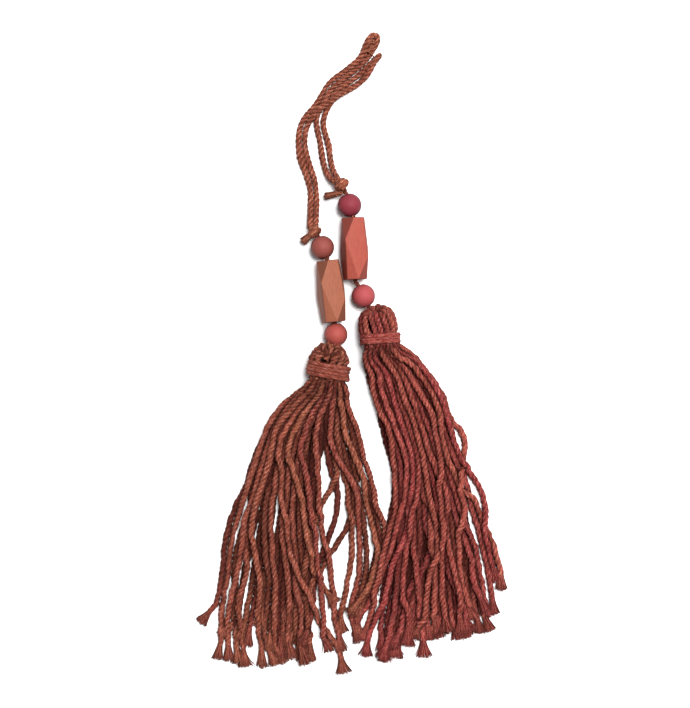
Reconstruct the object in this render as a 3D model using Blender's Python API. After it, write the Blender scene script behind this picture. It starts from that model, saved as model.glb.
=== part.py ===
"""Double tassel of jute twine with dyed wooden beads, lying flat. Metres, +Z up.

X runs to the right, Y towards the hanging eye, and Z up from the surface that it lies on. The origin
is on that surface, under the middle of the piece without its two hanging cords.
"""

import math
import random

import bmesh
import bpy
import numpy as np
from mathutils import Matrix, Vector

# Sizes that everything else is worked out from
MM = 0.001
GAP = 0.3 * MM                 # between pieces that touch
CORD_R = 2.1 * MM              # hanging cord, round its three plies
CORD_STEP = 2.0 * MM           # one raised step of the cord's twist
CORD_TURN = math.radians(45)   # twist in one step
STRAND_NECK = 3.1 * MM         # width of a skirt strand in the neck
STRAND_WIDE = 4.0 * MM         # and where it lies free
LANE = 1.95 * MM               # sideways pitch of the strands in the neck
ROW_NECK = 4.0 * MM            # height of one row of strands in the neck
ROW_FREE = 5.1 * MM            # and of one layer where the skirt lies free
NECK_STOPS = (0.0, 0.035, 0.07, 0.11, 0.15, 0.20, 0.26, 0.34)   # shares at which every strand has a point
FREE_POINTS = 6                # points from the last of them to a strand's end
WIDEN = (0.12, 0.70)           # share of the fan's length over which a strand and its row grow to full width
SPREAD_END = 0.12              # share by which the lanes have spread over the fan
SINK_END = 0.07                # share by which the lowest row lies on the surface
ROOT_DEPTH = 1.6 * MM          # how far a strand reaches into the neck that holds it
BEAD_R = 10.0 * MM             # round bead
BORE_R = 3.0 * MM
ROUND_HALF = 9.6 * MM          # half the stretch of cord inside a round bead
LONG_HALF = 26.2 * MM          # half the length of a long bead
FLATNESS = 0.82                # height of a head against its width, as it lies

# Hanging cords, as route points in mm; scene.py lays its twisted cords on the same points
CORD_EYE = [
    (-36.4, 170.9, 8.0), (-36.2, 183.0, 4.4), (-36.0, 193.8, 2.2), (-36.6, 203.8, 2.2), (-39.2, 214.0, 2.2),
    (-42.6, 224.0, 2.2), (-45.0, 233.0, 2.2), (-46.2, 242.4, 2.2), (-45.8, 251.6, 2.2), (-43.6, 259.6, 2.2),
    (-39.4, 266.2, 2.2), (-34.2, 272.4, 2.2), (-29.9, 278.4, 2.2), (-26.2, 284.8, 2.2), (-22.0, 291.9, 2.2),
    (-15.8, 297.9, 2.2), (-9.3, 302.6, 2.2), (-2.5, 307.6, 2.2), (3.9, 312.8, 2.2), (8.1, 317.9, 2.2),
    (10.6, 323.4, 2.2), (12.6, 328.8, 2.2), (15.4, 333.4, 2.2), (18.6, 334.9, 2.2), (20.9, 332.2, 2.2),
    (19.9, 327.0, 2.2), (16.9, 321.6, 2.2), (13.4, 316.4, 2.2), (9.4, 311.4, 2.2), (4.4, 306.8, 2.2),
    (-2.2, 301.8, 2.2), (-9.4, 296.6, 2.2), (-15.6, 291.6, 2.2), (-20.0, 286.4, 2.2), (-23.2, 280.4, 2.2),
    (-26.9, 274.4, 2.2), (-30.0, 268.4, 2.2), (-31.2, 261.6, 2.2), (-30.2, 253.6, 2.2), (-28.2, 245.0, 2.2),
    (-27.0, 236.6, 2.2), (-25.6, 228.0, 2.2), (-23.4, 220.2, 3.2), (-20.4, 214.2, 6.2), (-17.8, 210.6, 8.2),
]
CORD_FOLD = [
    (-31.6, 172.4, 8.0), (-31.2, 183.0, 4.4), (-31.0, 193.8, 2.2), (-31.6, 203.8, 2.2), (-33.2, 213.0, 2.2),
    (-36.4, 222.4, 2.2), (-39.4, 232.0, 2.2), (-41.0, 242.0, 2.2), (-40.7, 250.4, 2.2), (-39.0, 257.0, 2.4),
    (-36.0, 262.6, 4.0), (-33.4, 266.8, 6.0), (-29.8, 270.4, 6.9), (-25.2, 273.6, 7.2), (-20.4, 276.6, 7.2),
    (-16.1, 279.8, 7.0), (-12.0, 283.0, 5.2), (-7.6, 286.0, 2.8), (-2.2, 289.2, 2.2), (4.2, 293.2, 2.3),
    (9.9, 298.2, 3.6), (14.2, 303.6, 5.3), (17.2, 309.2, 6.7), (20.2, 314.0, 6.8), (21.7, 316.0, 6.2),
    (22.4, 316.9, 4.5), (21.7, 316.3, 2.8), (19.6, 314.7, 2.2), (16.2, 311.3, 2.2), (12.2, 307.2, 2.2),
    (7.0, 302.4, 2.2), (0.8, 297.6, 2.2), (-6.3, 292.8, 2.2), (-12.2, 288.4, 2.2), (-16.2, 282.8, 2.2),
    (-19.4, 276.8, 2.2), (-22.4, 270.6, 2.2), (-24.8, 263.6, 2.2), (-25.0, 256.6, 2.2), (-22.8, 248.2, 2.2),
    (-20.4, 239.6, 2.2), (-19.4, 231.0, 2.2), (-17.9, 223.0, 3.2), (-15.6, 217.0, 6.2), (-13.6, 213.4, 8.2),
]

# Beads: side, place on the string, kind, centre in mm, slant to the right on the way down, colour
BEADS = [
    ("left", "upper", "round", (-26.0, 153.4, 9.8), 22.0, (0.37, 0.13, 0.09)),
    ("left", "long", "long", (-18.9, 116.1, 10.8), 6.0, (0.48, 0.19, 0.10)),
    ("left", "lower", "round", (-14.6, 79.4, 9.8), 4.0, (0.42, 0.08, 0.06)),
    ("right", "upper", "round", (-2.9, 189.3, 9.8), 17.0, (0.36, 0.05, 0.08)),
    ("right", "long", "long", (0.9, 152.3, 10.8), 2.2, (0.52, 0.14, 0.09)),
    ("right", "lower", "round", (8.8, 112.2, 9.8), 26.0, (0.45, 0.09, 0.11)),
]
# Long bead: corners of its cut facets in mm, as right, up and along towards the tassel
BEAD_FACETS = [
    ("upper end", [(-9.2, 4.2, -26.2), (1.0, 9.6, -26.2), (8.9, 6.8, -26.2), (9.9, -1.5, -26.2),
                   (5.6, -8.2, -26.2), (-4.5, -8.6, -26.2), (-9.6, -3.4, -26.2)]),
    ("belt", [(-7.2, 12.9, -7.0), (11.8, 6.35, 8.0), (-12.0, -1.5, 3.0), (12.0, -3.5, -1.0)]),
    ("floor facet", [(7.5, -10.8, -12.0), (-5.5, -10.8, -9.0), (-6.0, -10.8, 12.0), (7.0, -10.8, 9.0)]),
    ("lower end", [(3.2, 9.8, 26.2), (10.1, 2.4, 26.2), (8.4, -6.2, 26.2), (2.0, -9.8, 26.2),
                   (-5.6, -8.3, 26.2), (-10.1, -1.0, 26.2), (-6.8, 7.0, 26.2)]),
]

# Cord through the beads: side, knot centre in mm, its slant, radius and half length in mm, tail end
KNOTS = [
    ("left", (-33.2, 166.3, 8.6), 22.0, 4.9, 4.3, (-42.4, 158.6, 5.2)),
    ("right", (-9.4, 206.8, 9.0), 21.0, 6.2, 5.0, (-24.2, 197.0, 5.4)),
]
KNOT_WRAPS = 2                 # ridges round a knot
KNOT_GROOVE = 0.13             # depth of the grooves between them, against its radius
KNOT_ROUND = 0.45              # how much a knot narrows towards its ends
TAIL_R = 2.4 * MM

# Heads: crown centre in mm, slant of the axis, distance down the axis and half width in mm
HEADS = {
    "left": {
        "crown": (-18.9, 68.6, 14.6), "slant": -6.0, "turns": 4,
        "dome": [(0.0, 0.0), (0.8, 8.6), (2.8, 12.4), (6.0, 15.6), (9.2, 16.9), (11.0, 16.7), (11.9, 15.4)],
        "band": (12.3, 28.1), "core": 14.3, "foot": 30.2, "colour": (0.36, 0.10, 0.05),
        "socket": (-14.2, 67.2, 10.6),
    },
    "right": {
        "crown": (20.9, 103.9, 14.6), "slant": 12.0, "turns": 3,
        "dome": [(0.0, 0.0), (0.9, 8.8), (3.4, 13.0), (8.0, 16.0), (14.0, 16.9), (19.4, 16.6), (21.6, 15.0)],
        "band": (22.0, 34.0), "core": 13.9, "foot": 36.2, "colour": (0.40, 0.10, 0.07),
        "socket": (14.0, 102.0, 10.6),
    },
}
TURN_R = 2.0 * MM              # half the height of a binding turn
HEAD_FOLDS = 14                # folded strands that show round a head
FOLD_DEPTH = 0.045             # their depth against the head's half width
SOCKET_DEPTH = 4.0 * MM

NECK_HALF = 13.4               # half width of the strands where they leave the neck, in mm

# Skirts, in mm: left edge and right edge of the fan at each cut across it, under the neck
SKIRTS = {
    "left": [
        ((-47.0, 29.0), (-3.6, 25.4)), ((-61.0, 17.6), (0.2, 13.6)),
        ((-73.4, -4.0), (3.4, -5.1)), ((-82.0, -30.6), (9.9, -30.6)), ((-91.0, -56.9), (15.0, -56.9)),
        ((-101.6, -77.3), (19.6, -77.3)), ((-108.4, -104.5), (19.6, -104.5)),
        ((-111.0, -137.7), (14.6, -137.7)), ((-114.4, -179.3), (6.4, -179.3)),
        ((-117.0, -212.0), (-2.0, -212.0)),
    ],
    "right": [
        ((12.6, 54.6), (47.0, 62.4)), ((13.4, 42.5), (58.0, 51.0)),
        ((15.6, 28.9), (69.4, 35.7)), ((22.6, 11.9), (80.4, 15.3)), ((29.4, -16.1), (93.0, -11.0)),
        ((35.4, -42.5), (103.2, -39.1)), ((37.6, -65.5), (110.8, -61.2)), ((31.4, -95.2), (116.8, -91.0)),
        ((26.4, -120.7), (123.6, -115.6)), ((21.6, -146.2), (127.0, -137.7)),
        ((17.6, -178.5), (122.8, -167.4)), ((14.6, -205.7), (116.0, -192.9)),
    ],
}
# Layers of a skirt, bottom first: lanes, width against the fan, where its upper row comes down
# (share of the fan's length, left and right tassel), and shortest and longest strand
LAYERS = [
    (11, 1.00, (0.06, 0.14), (0.06, 0.15), (0.90, 1.00)),
    (15, 0.93, (0.11, 0.20), (0.16, 0.27), (0.82, 0.965)),
    (11, 0.72, (0.11, 0.20), (0.16, 0.27), (0.70, 0.90)),
]
WAVE = 1.2 * MM                # sideways sway of a strand
SPACING = (1.12, 1.30)         # narrowest and widest space between lanes, in shares
WAVE_COUNT = (2.3, 1.7, 2.9)   # sways along a strand in each layer
WAVE_LAG = 0.35                # how far one strand's sway lags behind its neighbour's
SEEDS = {"left": 5, "right": 9}
# Stray outer strands: side, lane in the bottom layer, reach sideways and length against the fan
STRAYS = {("left", 0): (-25.0, 0.80), ("right", 10): (13.0, 0.78)}


def clear_scene():
    for thing in list(bpy.data.objects):
        bpy.data.objects.remove(thing, do_unlink=True)


def new_collection(name):
    group = bpy.data.collections.new(name)
    bpy.context.scene.collection.children.link(group)
    return group


def finish_of(name, colour, roughness):
    material = bpy.data.materials.new(name)
    material.use_nodes = True
    shader = material.node_tree.nodes["Principled BSDF"]
    shader.inputs["Base Color"].default_value = (*colour, 1.0)
    shader.inputs["Roughness"].default_value = roughness
    shader.inputs["Metallic"].default_value = 0.0
    material.diffuse_color = (*colour, 1.0)
    return material


def object_from_bmesh(name, shape, group):
    mesh = bpy.data.meshes.new(name)
    bmesh.ops.recalc_face_normals(shape, faces=shape.faces)
    shape.to_mesh(mesh)
    shape.free()
    thing = bpy.data.objects.new(name, mesh)
    group.objects.link(thing)
    return thing


def hide_guide(thing):
    thing.hide_render = True
    thing.display_type = "WIRE"


def combine(thing, other, operation):
    """Join or cut with the exact solver, and take the other shape away."""
    step = thing.modifiers.new(operation.title(), "BOOLEAN")
    step.operation = operation
    step.solver = "EXACT"
    step.object = other
    bpy.context.view_layer.update()
    result = bpy.data.meshes.new_from_object(thing.evaluated_get(bpy.context.evaluated_depsgraph_get()))
    thing.modifiers.clear()
    thing.data = result
    bpy.data.objects.remove(other, do_unlink=True)


def smooth_route(points, step):
    """Points an even step apart on a Catmull-Rom curve through the given ones."""
    knots = np.array(points, float)
    ends = np.vstack([2 * knots[0] - knots[1], knots, 2 * knots[-1] - knots[-2]])
    fine = []
    for a, b, c, d in zip(ends[:-3], ends[1:-2], ends[2:-1], ends[3:]):
        for t in np.linspace(0.0, 1.0, 12, endpoint=False):
            fine.append(0.5 * (2 * b + (c - a) * t + (2 * a - 5 * b + 4 * c - d) * t * t
                               + (3 * b - a - 3 * c + d) * t ** 3))
    fine = np.vstack([fine, knots[-1]])
    along = np.concatenate([[0.0], np.cumsum(np.linalg.norm(np.diff(fine, axis=0), axis=1))])
    stops = np.linspace(0.0, along[-1], max(2, round(along[-1] / step)) + 1)
    return np.stack([np.interp(stops, along, fine[:, axis]) for axis in range(3)], axis=1)


def tubes(name, routes, radii, group, tilt=0.0, turn=0.0, sides=4, profile=None):
    """One mesh of closed tubes; each route has its own list of radii."""
    curve = bpy.data.curves.new(name, "CURVE")
    curve.dimensions = "3D"
    curve.twist_mode = "Z_UP"
    curve.use_fill_caps = True
    if profile is None:
        curve.bevel_depth = 1.0
        curve.bevel_resolution = sides // 4 * 2 - 2
    else:
        curve.bevel_mode = "OBJECT"
        curve.bevel_object = profile
    for route, sizes in zip(routes, radii):
        spline = curve.splines.new("POLY")
        spline.points.add(len(route) - 1)
        for index, (point, place, size) in enumerate(zip(spline.points, route, sizes)):
            point.co = (*place, 1.0)
            point.radius = size
            point.tilt = tilt + turn * index
    drawn = bpy.data.objects.new(name + " curve", curve)
    group.objects.link(drawn)
    bpy.context.view_layer.update()
    mesh = bpy.data.meshes.new_from_object(drawn.evaluated_get(bpy.context.evaluated_depsgraph_get()))
    bpy.data.objects.remove(drawn, do_unlink=True)
    shape = bmesh.new()
    shape.from_mesh(mesh)
    bmesh.ops.remove_doubles(shape, verts=shape.verts, dist=1e-6)
    bpy.data.meshes.remove(mesh)
    return object_from_bmesh(name, shape, group)


def ply_profile(group):
    """Three-sided outline that the cord's twist turns."""
    curve = bpy.data.curves.new("ply outline", "CURVE")
    curve.dimensions = "2D"
    spline = curve.splines.new("POLY")
    spline.points.add(2)
    for index, point in enumerate(spline.points):
        angle = math.tau * index / 3
        point.co = (math.cos(angle), math.sin(angle), 0.0, 1.0)
    spline.use_cyclic_u = True
    outline = bpy.data.objects.new("ply outline", curve)
    group.objects.link(outline)
    hide_guide(outline)
    return outline


def down_the_string(slant, lift=0.0):
    """Direction of travel towards the tassel, slanted to the right and lifted, in degrees."""
    turn, rise = math.radians(slant), math.radians(lift)
    return Vector((math.sin(turn) * math.cos(rise), -math.cos(turn) * math.cos(rise), math.sin(rise)))


def frame_along(axis, place):
    """Matrix whose local Z points along the axis and whose local Y stays near +Z."""
    z = Vector(axis).normalized()
    x = z.cross(Vector((0.0, 0.0, 1.0))).normalized() * -1.0
    y = z.cross(x)
    matrix = Matrix((x, y, z)).transposed().to_4x4()
    matrix.translation = Vector(place)
    return matrix


def round_bead(name, group):
    shape = bmesh.new()
    bmesh.ops.create_uvsphere(shape, u_segments=18, v_segments=11, radius=BEAD_R)
    return object_from_bmesh(name, shape, group)


def long_bead(name, group):
    """Hull of the facets' corners about the bore, which runs along local Z."""
    shape = bmesh.new()
    for _ring, corners in BEAD_FACETS:
        for right, up, along in corners:
            shape.verts.new((right * MM, up * MM, along * MM))
    hull = bmesh.ops.convex_hull(shape, input=shape.verts)
    spare = [part for part in hull["geom_interior"] if isinstance(part, bmesh.types.BMVert)]
    bmesh.ops.delete(shape, geom=spare, context="VERTS")
    flat = [edge for edge in shape.edges if abs(edge.calc_face_angle(0.0)) < math.radians(0.5)]
    bmesh.ops.dissolve_edges(shape, edges=flat, use_verts=False)
    return object_from_bmesh(name, shape, group)


def bore_out(bead, length, group):
    shape = bmesh.new()
    bmesh.ops.create_cone(shape, cap_ends=True, segments=10, radius1=BORE_R, radius2=BORE_R, depth=length)
    combine(bead, object_from_bmesh("bore", shape, group), "DIFFERENCE")


def trim_to_floor(thing, group):
    """Take off what reaches under the surface, which leaves a small flat spot."""
    shape = bmesh.new()
    bmesh.ops.create_cube(shape, size=1.0)
    reach = 0.2
    shape.transform(Matrix.Translation((*thing.bound_box[0][:2], -reach / 2)) @ Matrix.Diagonal((1, 1, reach, 1)))
    combine(thing, object_from_bmesh("floor", shape, group), "DIFFERENCE")


def make_beads(parts, cutters):
    for side, place, kind, centre, slant, colour in BEADS:
        name = f"bead_{side}_{place}"
        bead = round_bead(name, parts) if kind == "round" else long_bead(name, parts)
        bore_out(bead, 3 * LONG_HALF, cutters)
        bead.data.transform(frame_along(down_the_string(slant), Vector(centre) * MM))
        if kind == "round":
            trim_to_floor(bead, cutters)
        bead.data.materials.append(finish_of(f"dyed wood {side} {place}", colour, 0.42))
        if kind == "round":
            bead.data.shade_smooth()
            bead.data.set_sharp_from_angle(angle=math.radians(35))


def string_route(side):
    """Straight inside each bead, and eased from one bead to the next."""
    knot = next(row for row in KNOTS if row[0] == side)
    route = [Vector(knot[1]) * MM]
    for bead_side, _place, kind, centre, slant, _colour in BEADS:
        if bead_side == side:
            half = (ROUND_HALF if kind == "round" else LONG_HALF - GAP)
            step = down_the_string(slant) * half
            middle = Vector(centre) * MM
            route += [middle - step, middle, middle + step]
    route.append(Vector(HEADS[side]["socket"]) * MM)
    return route


def make_bead_cords(parts):
    for side, centre, slant, radius, half, tail in KNOTS:
        route = string_route(side)
        name = f"bead_cord_{side}"
        cord = tubes(name, [route], [[CORD_R] * len(route)], parts, tilt=math.radians(22.5), sides=8)
        profile = [(0.0, -half)]
        steps = 4 * KNOT_WRAPS
        for index in range(steps + 1):
            wave = 1.0 - KNOT_GROOVE * (0.5 + 0.5 * math.cos(math.tau * KNOT_WRAPS * index / steps))
            bulge = math.sqrt(1.0 - KNOT_ROUND * (2.0 * index / steps - 1.0) ** 2)
            profile.append((radius * wave * bulge, half * (2.0 * index / steps - 1.0)))
        profile.append((0.0, half))
        knot = turned("knot " + side, profile, 14, parts)
        knot.data.transform(frame_along(down_the_string(slant), Vector(centre) * MM))
        start, end = Vector(centre) * MM, Vector(tail) * MM
        stops = [start.lerp(end, share) for share in (0.1, 0.55, 1.0)]
        combine(cord, knot, "UNION")
        tail_piece = tubes("tail " + side, [stops], [[TAIL_R * 0.9, TAIL_R * 0.9, TAIL_R]], parts,
                           tilt=math.radians(22.5), sides=8)
        combine(cord, tail_piece, "UNION")
        cord.data.materials.append(finish_of(f"jute cord {side}", (0.36, 0.11, 0.06), 0.85))


def turned(name, profile, steps, group):
    """Solid or ring of revolution about local Z from a profile in mm, radius and height."""
    shape = bmesh.new()
    corners = [shape.verts.new((radius * MM, 0.0, height * MM)) for radius, height in profile]
    for first, second in zip(corners, corners[1:]):
        shape.edges.new((first, second))
    bmesh.ops.spin(shape, geom=shape.verts[:] + shape.edges[:], angle=math.tau, steps=steps,
                   axis=(0.0, 0.0, 1.0), cent=(0.0, 0.0, 0.0), use_merge=True)
    bmesh.ops.remove_doubles(shape, verts=shape.verts, dist=1e-6)
    return object_from_bmesh(name, shape, group)


def head_matrix(side):
    sizes = HEADS[side]
    return frame_along(down_the_string(sizes["slant"]), Vector(sizes["crown"]) * MM)


def make_head(side, group):
    """Folded dome and neck core, flattened as it lies, with the folds raised round the dome."""
    sizes = HEADS[side]
    dome_end = sizes["dome"][-1][0]
    profile = [(half, down) for down, half in sizes["dome"]]
    profile += [(sizes["core"], dome_end + 0.2), (sizes["core"], sizes["foot"]), (0.0, sizes["foot"])]
    head = turned("head " + side, profile, 2 * HEAD_FOLDS, group)
    for corner in head.data.vertices:
        reach = math.hypot(corner.co.x, corner.co.y)
        angle = math.atan2(corner.co.y, corner.co.x)
        fold = 0.0
        if 1e-6 < reach and corner.co.z < (dome_end - 0.5) * MM:
            fold = FOLD_DEPTH * math.cos(HEAD_FOLDS * angle) - FOLD_DEPTH
        corner.co.x *= 1.0 + fold
        corner.co.y *= (1.0 + fold) * FLATNESS
    head.data.transform(head_matrix(side))
    return head


def make_binding(side, parts):
    """Ridged ring of twine turns, pressed flat where it lies on the surface."""
    sizes = HEADS[side]
    start, end = sizes["band"]
    turns = sizes["turns"]
    inner = sizes["core"] + GAP / MM / FLATNESS
    pitch = (end - start) / turns
    profile = [(inner, start), (inner + 1.7, start)]
    for turn in range(turns):
        crest = start + (turn + 0.5) * pitch
        profile += [(inner + 2 * TURN_R / MM, crest - 0.2 * pitch), (inner + 2 * TURN_R / MM, crest + 0.2 * pitch)]
        profile.append((inner + 2.6 if turn < turns - 1 else inner + 1.7, start + (turn + 1) * pitch))
    profile += [(inner, end), (inner, start)]
    ring = turned("binding_" + side, profile, 26, parts)
    matrix = head_matrix(side)
    for corner in ring.data.vertices:
        corner.co.y *= FLATNESS
    ring.data.transform(matrix)
    for corner in ring.data.vertices:
        corner.co.z = max(corner.co.z, 0.0)
    ring.data.materials.append(finish_of("jute binding " + side, sizes["colour"], 0.85))


def ease(value, low, high):
    share = min(1.0, max(0.0, (value - low) / (high - low)))
    return share * share * (3.0 - 2.0 * share)


def fan_rows(side):
    """Edges of the fan at each cut, the first one square to the head's foot."""
    sizes = HEADS[side]
    axis = down_the_string(sizes["slant"])
    foot = Vector(sizes["crown"]) + axis * sizes["foot"]
    reach = Vector((-axis.y, axis.x, 0.0)) * NECK_HALF
    return [(tuple((foot - reach)[:2]), tuple((foot + reach)[:2]))] + SKIRTS[side]


def fan_point(side, share, across):
    """Place in the fan, share of the way down it and across it from its left edge."""
    rows = fan_rows(side)
    middles = np.array([np.add(left, right) / 2 for left, right in rows])
    along = np.concatenate([[0.0], np.cumsum(np.linalg.norm(np.diff(middles, axis=0), axis=1))])
    at = share * along[-1]
    left = [np.interp(at, along, [row[0][axis] for row in rows]) for axis in range(2)]
    right = [np.interp(at, along, [row[1][axis] for row in rows]) for axis in range(2)]
    return (np.array(left) * (1.0 - across) + np.array(right) * across) * MM


def row_heights(side, share):
    """Middle heights of the six rows of strands at one share of the fan's length."""
    column = 2 if side == "left" else 3
    free = ease(share, *WIDEN)
    pitch = ROW_NECK * (1.0 - free) + ROW_FREE * free
    neck_bottom = HEADS[side]["crown"][2] * MM - 2.5 * ROW_NECK
    width = strand_width(share)
    sunk = ease(share, 0.0, SINK_END)
    bottom = neck_bottom * (1.0 - sunk) + width / 2 * sunk
    heights = []
    for layer in LAYERS:
        merged = ease(share, *layer[column])
        heights += [bottom, bottom + pitch * (1.0 - merged)]
        bottom = heights[-1] + pitch
    return heights


def strand_width(share):
    return STRAND_NECK + (STRAND_WIDE - STRAND_NECK) * ease(share, *WIDEN)


def strand_routes(side):
    """Route and widths of every strand, layer by layer, each in its own lane of the fan."""
    chance = random.Random(SEEDS[side])
    neck_width = 2 * NECK_HALF * MM
    routes, widths = [], []
    for level, (lanes, reach, _left, _right, lengths) in enumerate(LAYERS):
        spaces = [chance.uniform(*SPACING) for _lane in range(lanes - 1)]
        free_across = [sum(spaces[:lane]) / sum(spaces) for lane in range(lanes)]
        phase = chance.random()
        for lane in range(lanes):
            upper = (lane % 2 == 0) if level < 2 else (lane % 2 == 1)
            row = 2 * level + int(upper)
            neck_across = 0.5 + (lane - (lanes - 1) / 2) * LANE / neck_width
            aim_across = 0.5 + (free_across[lane] - 0.5) * reach
            length = chance.uniform(*lengths)
            stray = STRAYS.get((side, lane)) if level == 0 else None
            sideways = 0.0
            if stray:
                sideways, length = stray
            route, sizes = [], []
            for share in (*NECK_STOPS, *np.linspace(NECK_STOPS[-1], length, FREE_POINTS + 1)[1:]):
                across = neck_across + (aim_across - neck_across) * ease(share, 0.0, SPREAD_END)
                x, y = fan_point(side, share, across)
                swing = ease(share, 0.1, 0.5) * WAVE
                x += swing * math.sin(math.tau * (share * WAVE_COUNT[level] + phase) + WAVE_LAG * lane)
                x += sideways * MM * ease(share, 0.5, 0.9)
                route.append((x, y, row_heights(side, share)[row]))
                sizes.append(strand_width(share) / math.sqrt(2.0))
            axis = down_the_string(HEADS[side]["slant"])
            root = Vector(route[0]) - axis * ROOT_DEPTH
            routes.append([tuple(root)] + route)
            widths.append([sizes[0]] + sizes)
    return routes, widths


def make_tassel(side, parts, cutters):
    sizes = HEADS[side]
    name = "tassel_" + side
    head = make_head(side, parts)
    socket = Vector(sizes["socket"]) * MM
    shape = bmesh.new()
    wide = CORD_R + 2 * GAP
    bmesh.ops.create_cone(shape, cap_ends=True, segments=10, radius1=wide, radius2=wide, depth=8 * SOCKET_DEPTH)
    last_bead = [row for row in BEADS if row[0] == side][-1]
    mouth = Vector(last_bead[3]) * MM + down_the_string(last_bead[4]) * ROUND_HALF
    inward = (socket - mouth).normalized()
    shape.transform(frame_along(inward, socket - inward * (4 * SOCKET_DEPTH - 2 * GAP)))
    combine(head, object_from_bmesh("socket", shape, cutters), "DIFFERENCE")
    routes, widths = strand_routes(side)
    strands = tubes(name, routes, widths, parts, tilt=math.radians(45.0))
    combine(strands, head, "UNION")
    strands.data.materials.append(finish_of("jute " + side, sizes["colour"], 0.85))


def make_hanging_cords(parts, cutters):
    outline = ply_profile(cutters)
    for name, points in (("cord_eye", CORD_EYE), ("cord_fold", CORD_FOLD)):
        route = smooth_route(np.array(points) * MM, CORD_STEP)
        cord = tubes(name, [route], [[CORD_R] * len(route)], parts, turn=CORD_TURN, profile=outline)
        cord.data.materials.append(finish_of("jute " + name, (0.36, 0.11, 0.06), 0.85))


def main():
    clear_scene()
    parts = new_collection("double tassel")
    cutters = new_collection("cutters")
    for side in ("left", "right"):
        make_tassel(side, parts, cutters)
        make_binding(side, parts)
    make_beads(parts, cutters)
    make_bead_cords(parts)
    make_hanging_cords(parts, cutters)


main()
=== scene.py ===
"""Looks of the double tassel: twisted jute twine, dyed wooden beads and the doubled hanging cord.

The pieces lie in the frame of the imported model. X runs to the right, Y towards the hanging eye and Z
up from the surface. Routes and sizes are in millimetres and become metres where a mesh is made.
"""

from __future__ import annotations

import logging
import math
import random
from dataclasses import dataclass, field, replace
from enum import Enum

import bmesh
import bpy
import numpy as np
from mathutils import Matrix, Vector
from mathutils.kdtree import KDTree

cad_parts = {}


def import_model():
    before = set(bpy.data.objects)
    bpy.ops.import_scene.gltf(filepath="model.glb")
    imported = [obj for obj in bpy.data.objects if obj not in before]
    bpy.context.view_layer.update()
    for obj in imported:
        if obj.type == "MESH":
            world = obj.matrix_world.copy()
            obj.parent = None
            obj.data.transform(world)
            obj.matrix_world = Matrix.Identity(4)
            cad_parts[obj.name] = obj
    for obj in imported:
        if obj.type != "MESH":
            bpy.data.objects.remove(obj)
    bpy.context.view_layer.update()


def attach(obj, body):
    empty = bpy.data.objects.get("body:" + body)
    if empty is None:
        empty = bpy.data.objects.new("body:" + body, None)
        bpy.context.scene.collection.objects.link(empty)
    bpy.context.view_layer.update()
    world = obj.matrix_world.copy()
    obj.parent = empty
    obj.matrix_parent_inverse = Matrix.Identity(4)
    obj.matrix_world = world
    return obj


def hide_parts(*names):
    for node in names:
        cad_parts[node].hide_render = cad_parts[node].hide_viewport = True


LOG = logging.getLogger("double_tassel")

MM = 0.001
GAP = 0.3                      # between pieces that touch
Point = tuple[float, float, float]
Spot = tuple[float, float]


class Side(Enum):
    """The two halves of the pair, as they lie."""

    LEFT = "left"
    RIGHT = "right"


class Layer(Enum):
    """Height of a strand in its skirt, lowest first."""

    FLOOR = 0
    LOW = 1
    MIDDLE = 2
    TOP = 3


# Finishes


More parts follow.
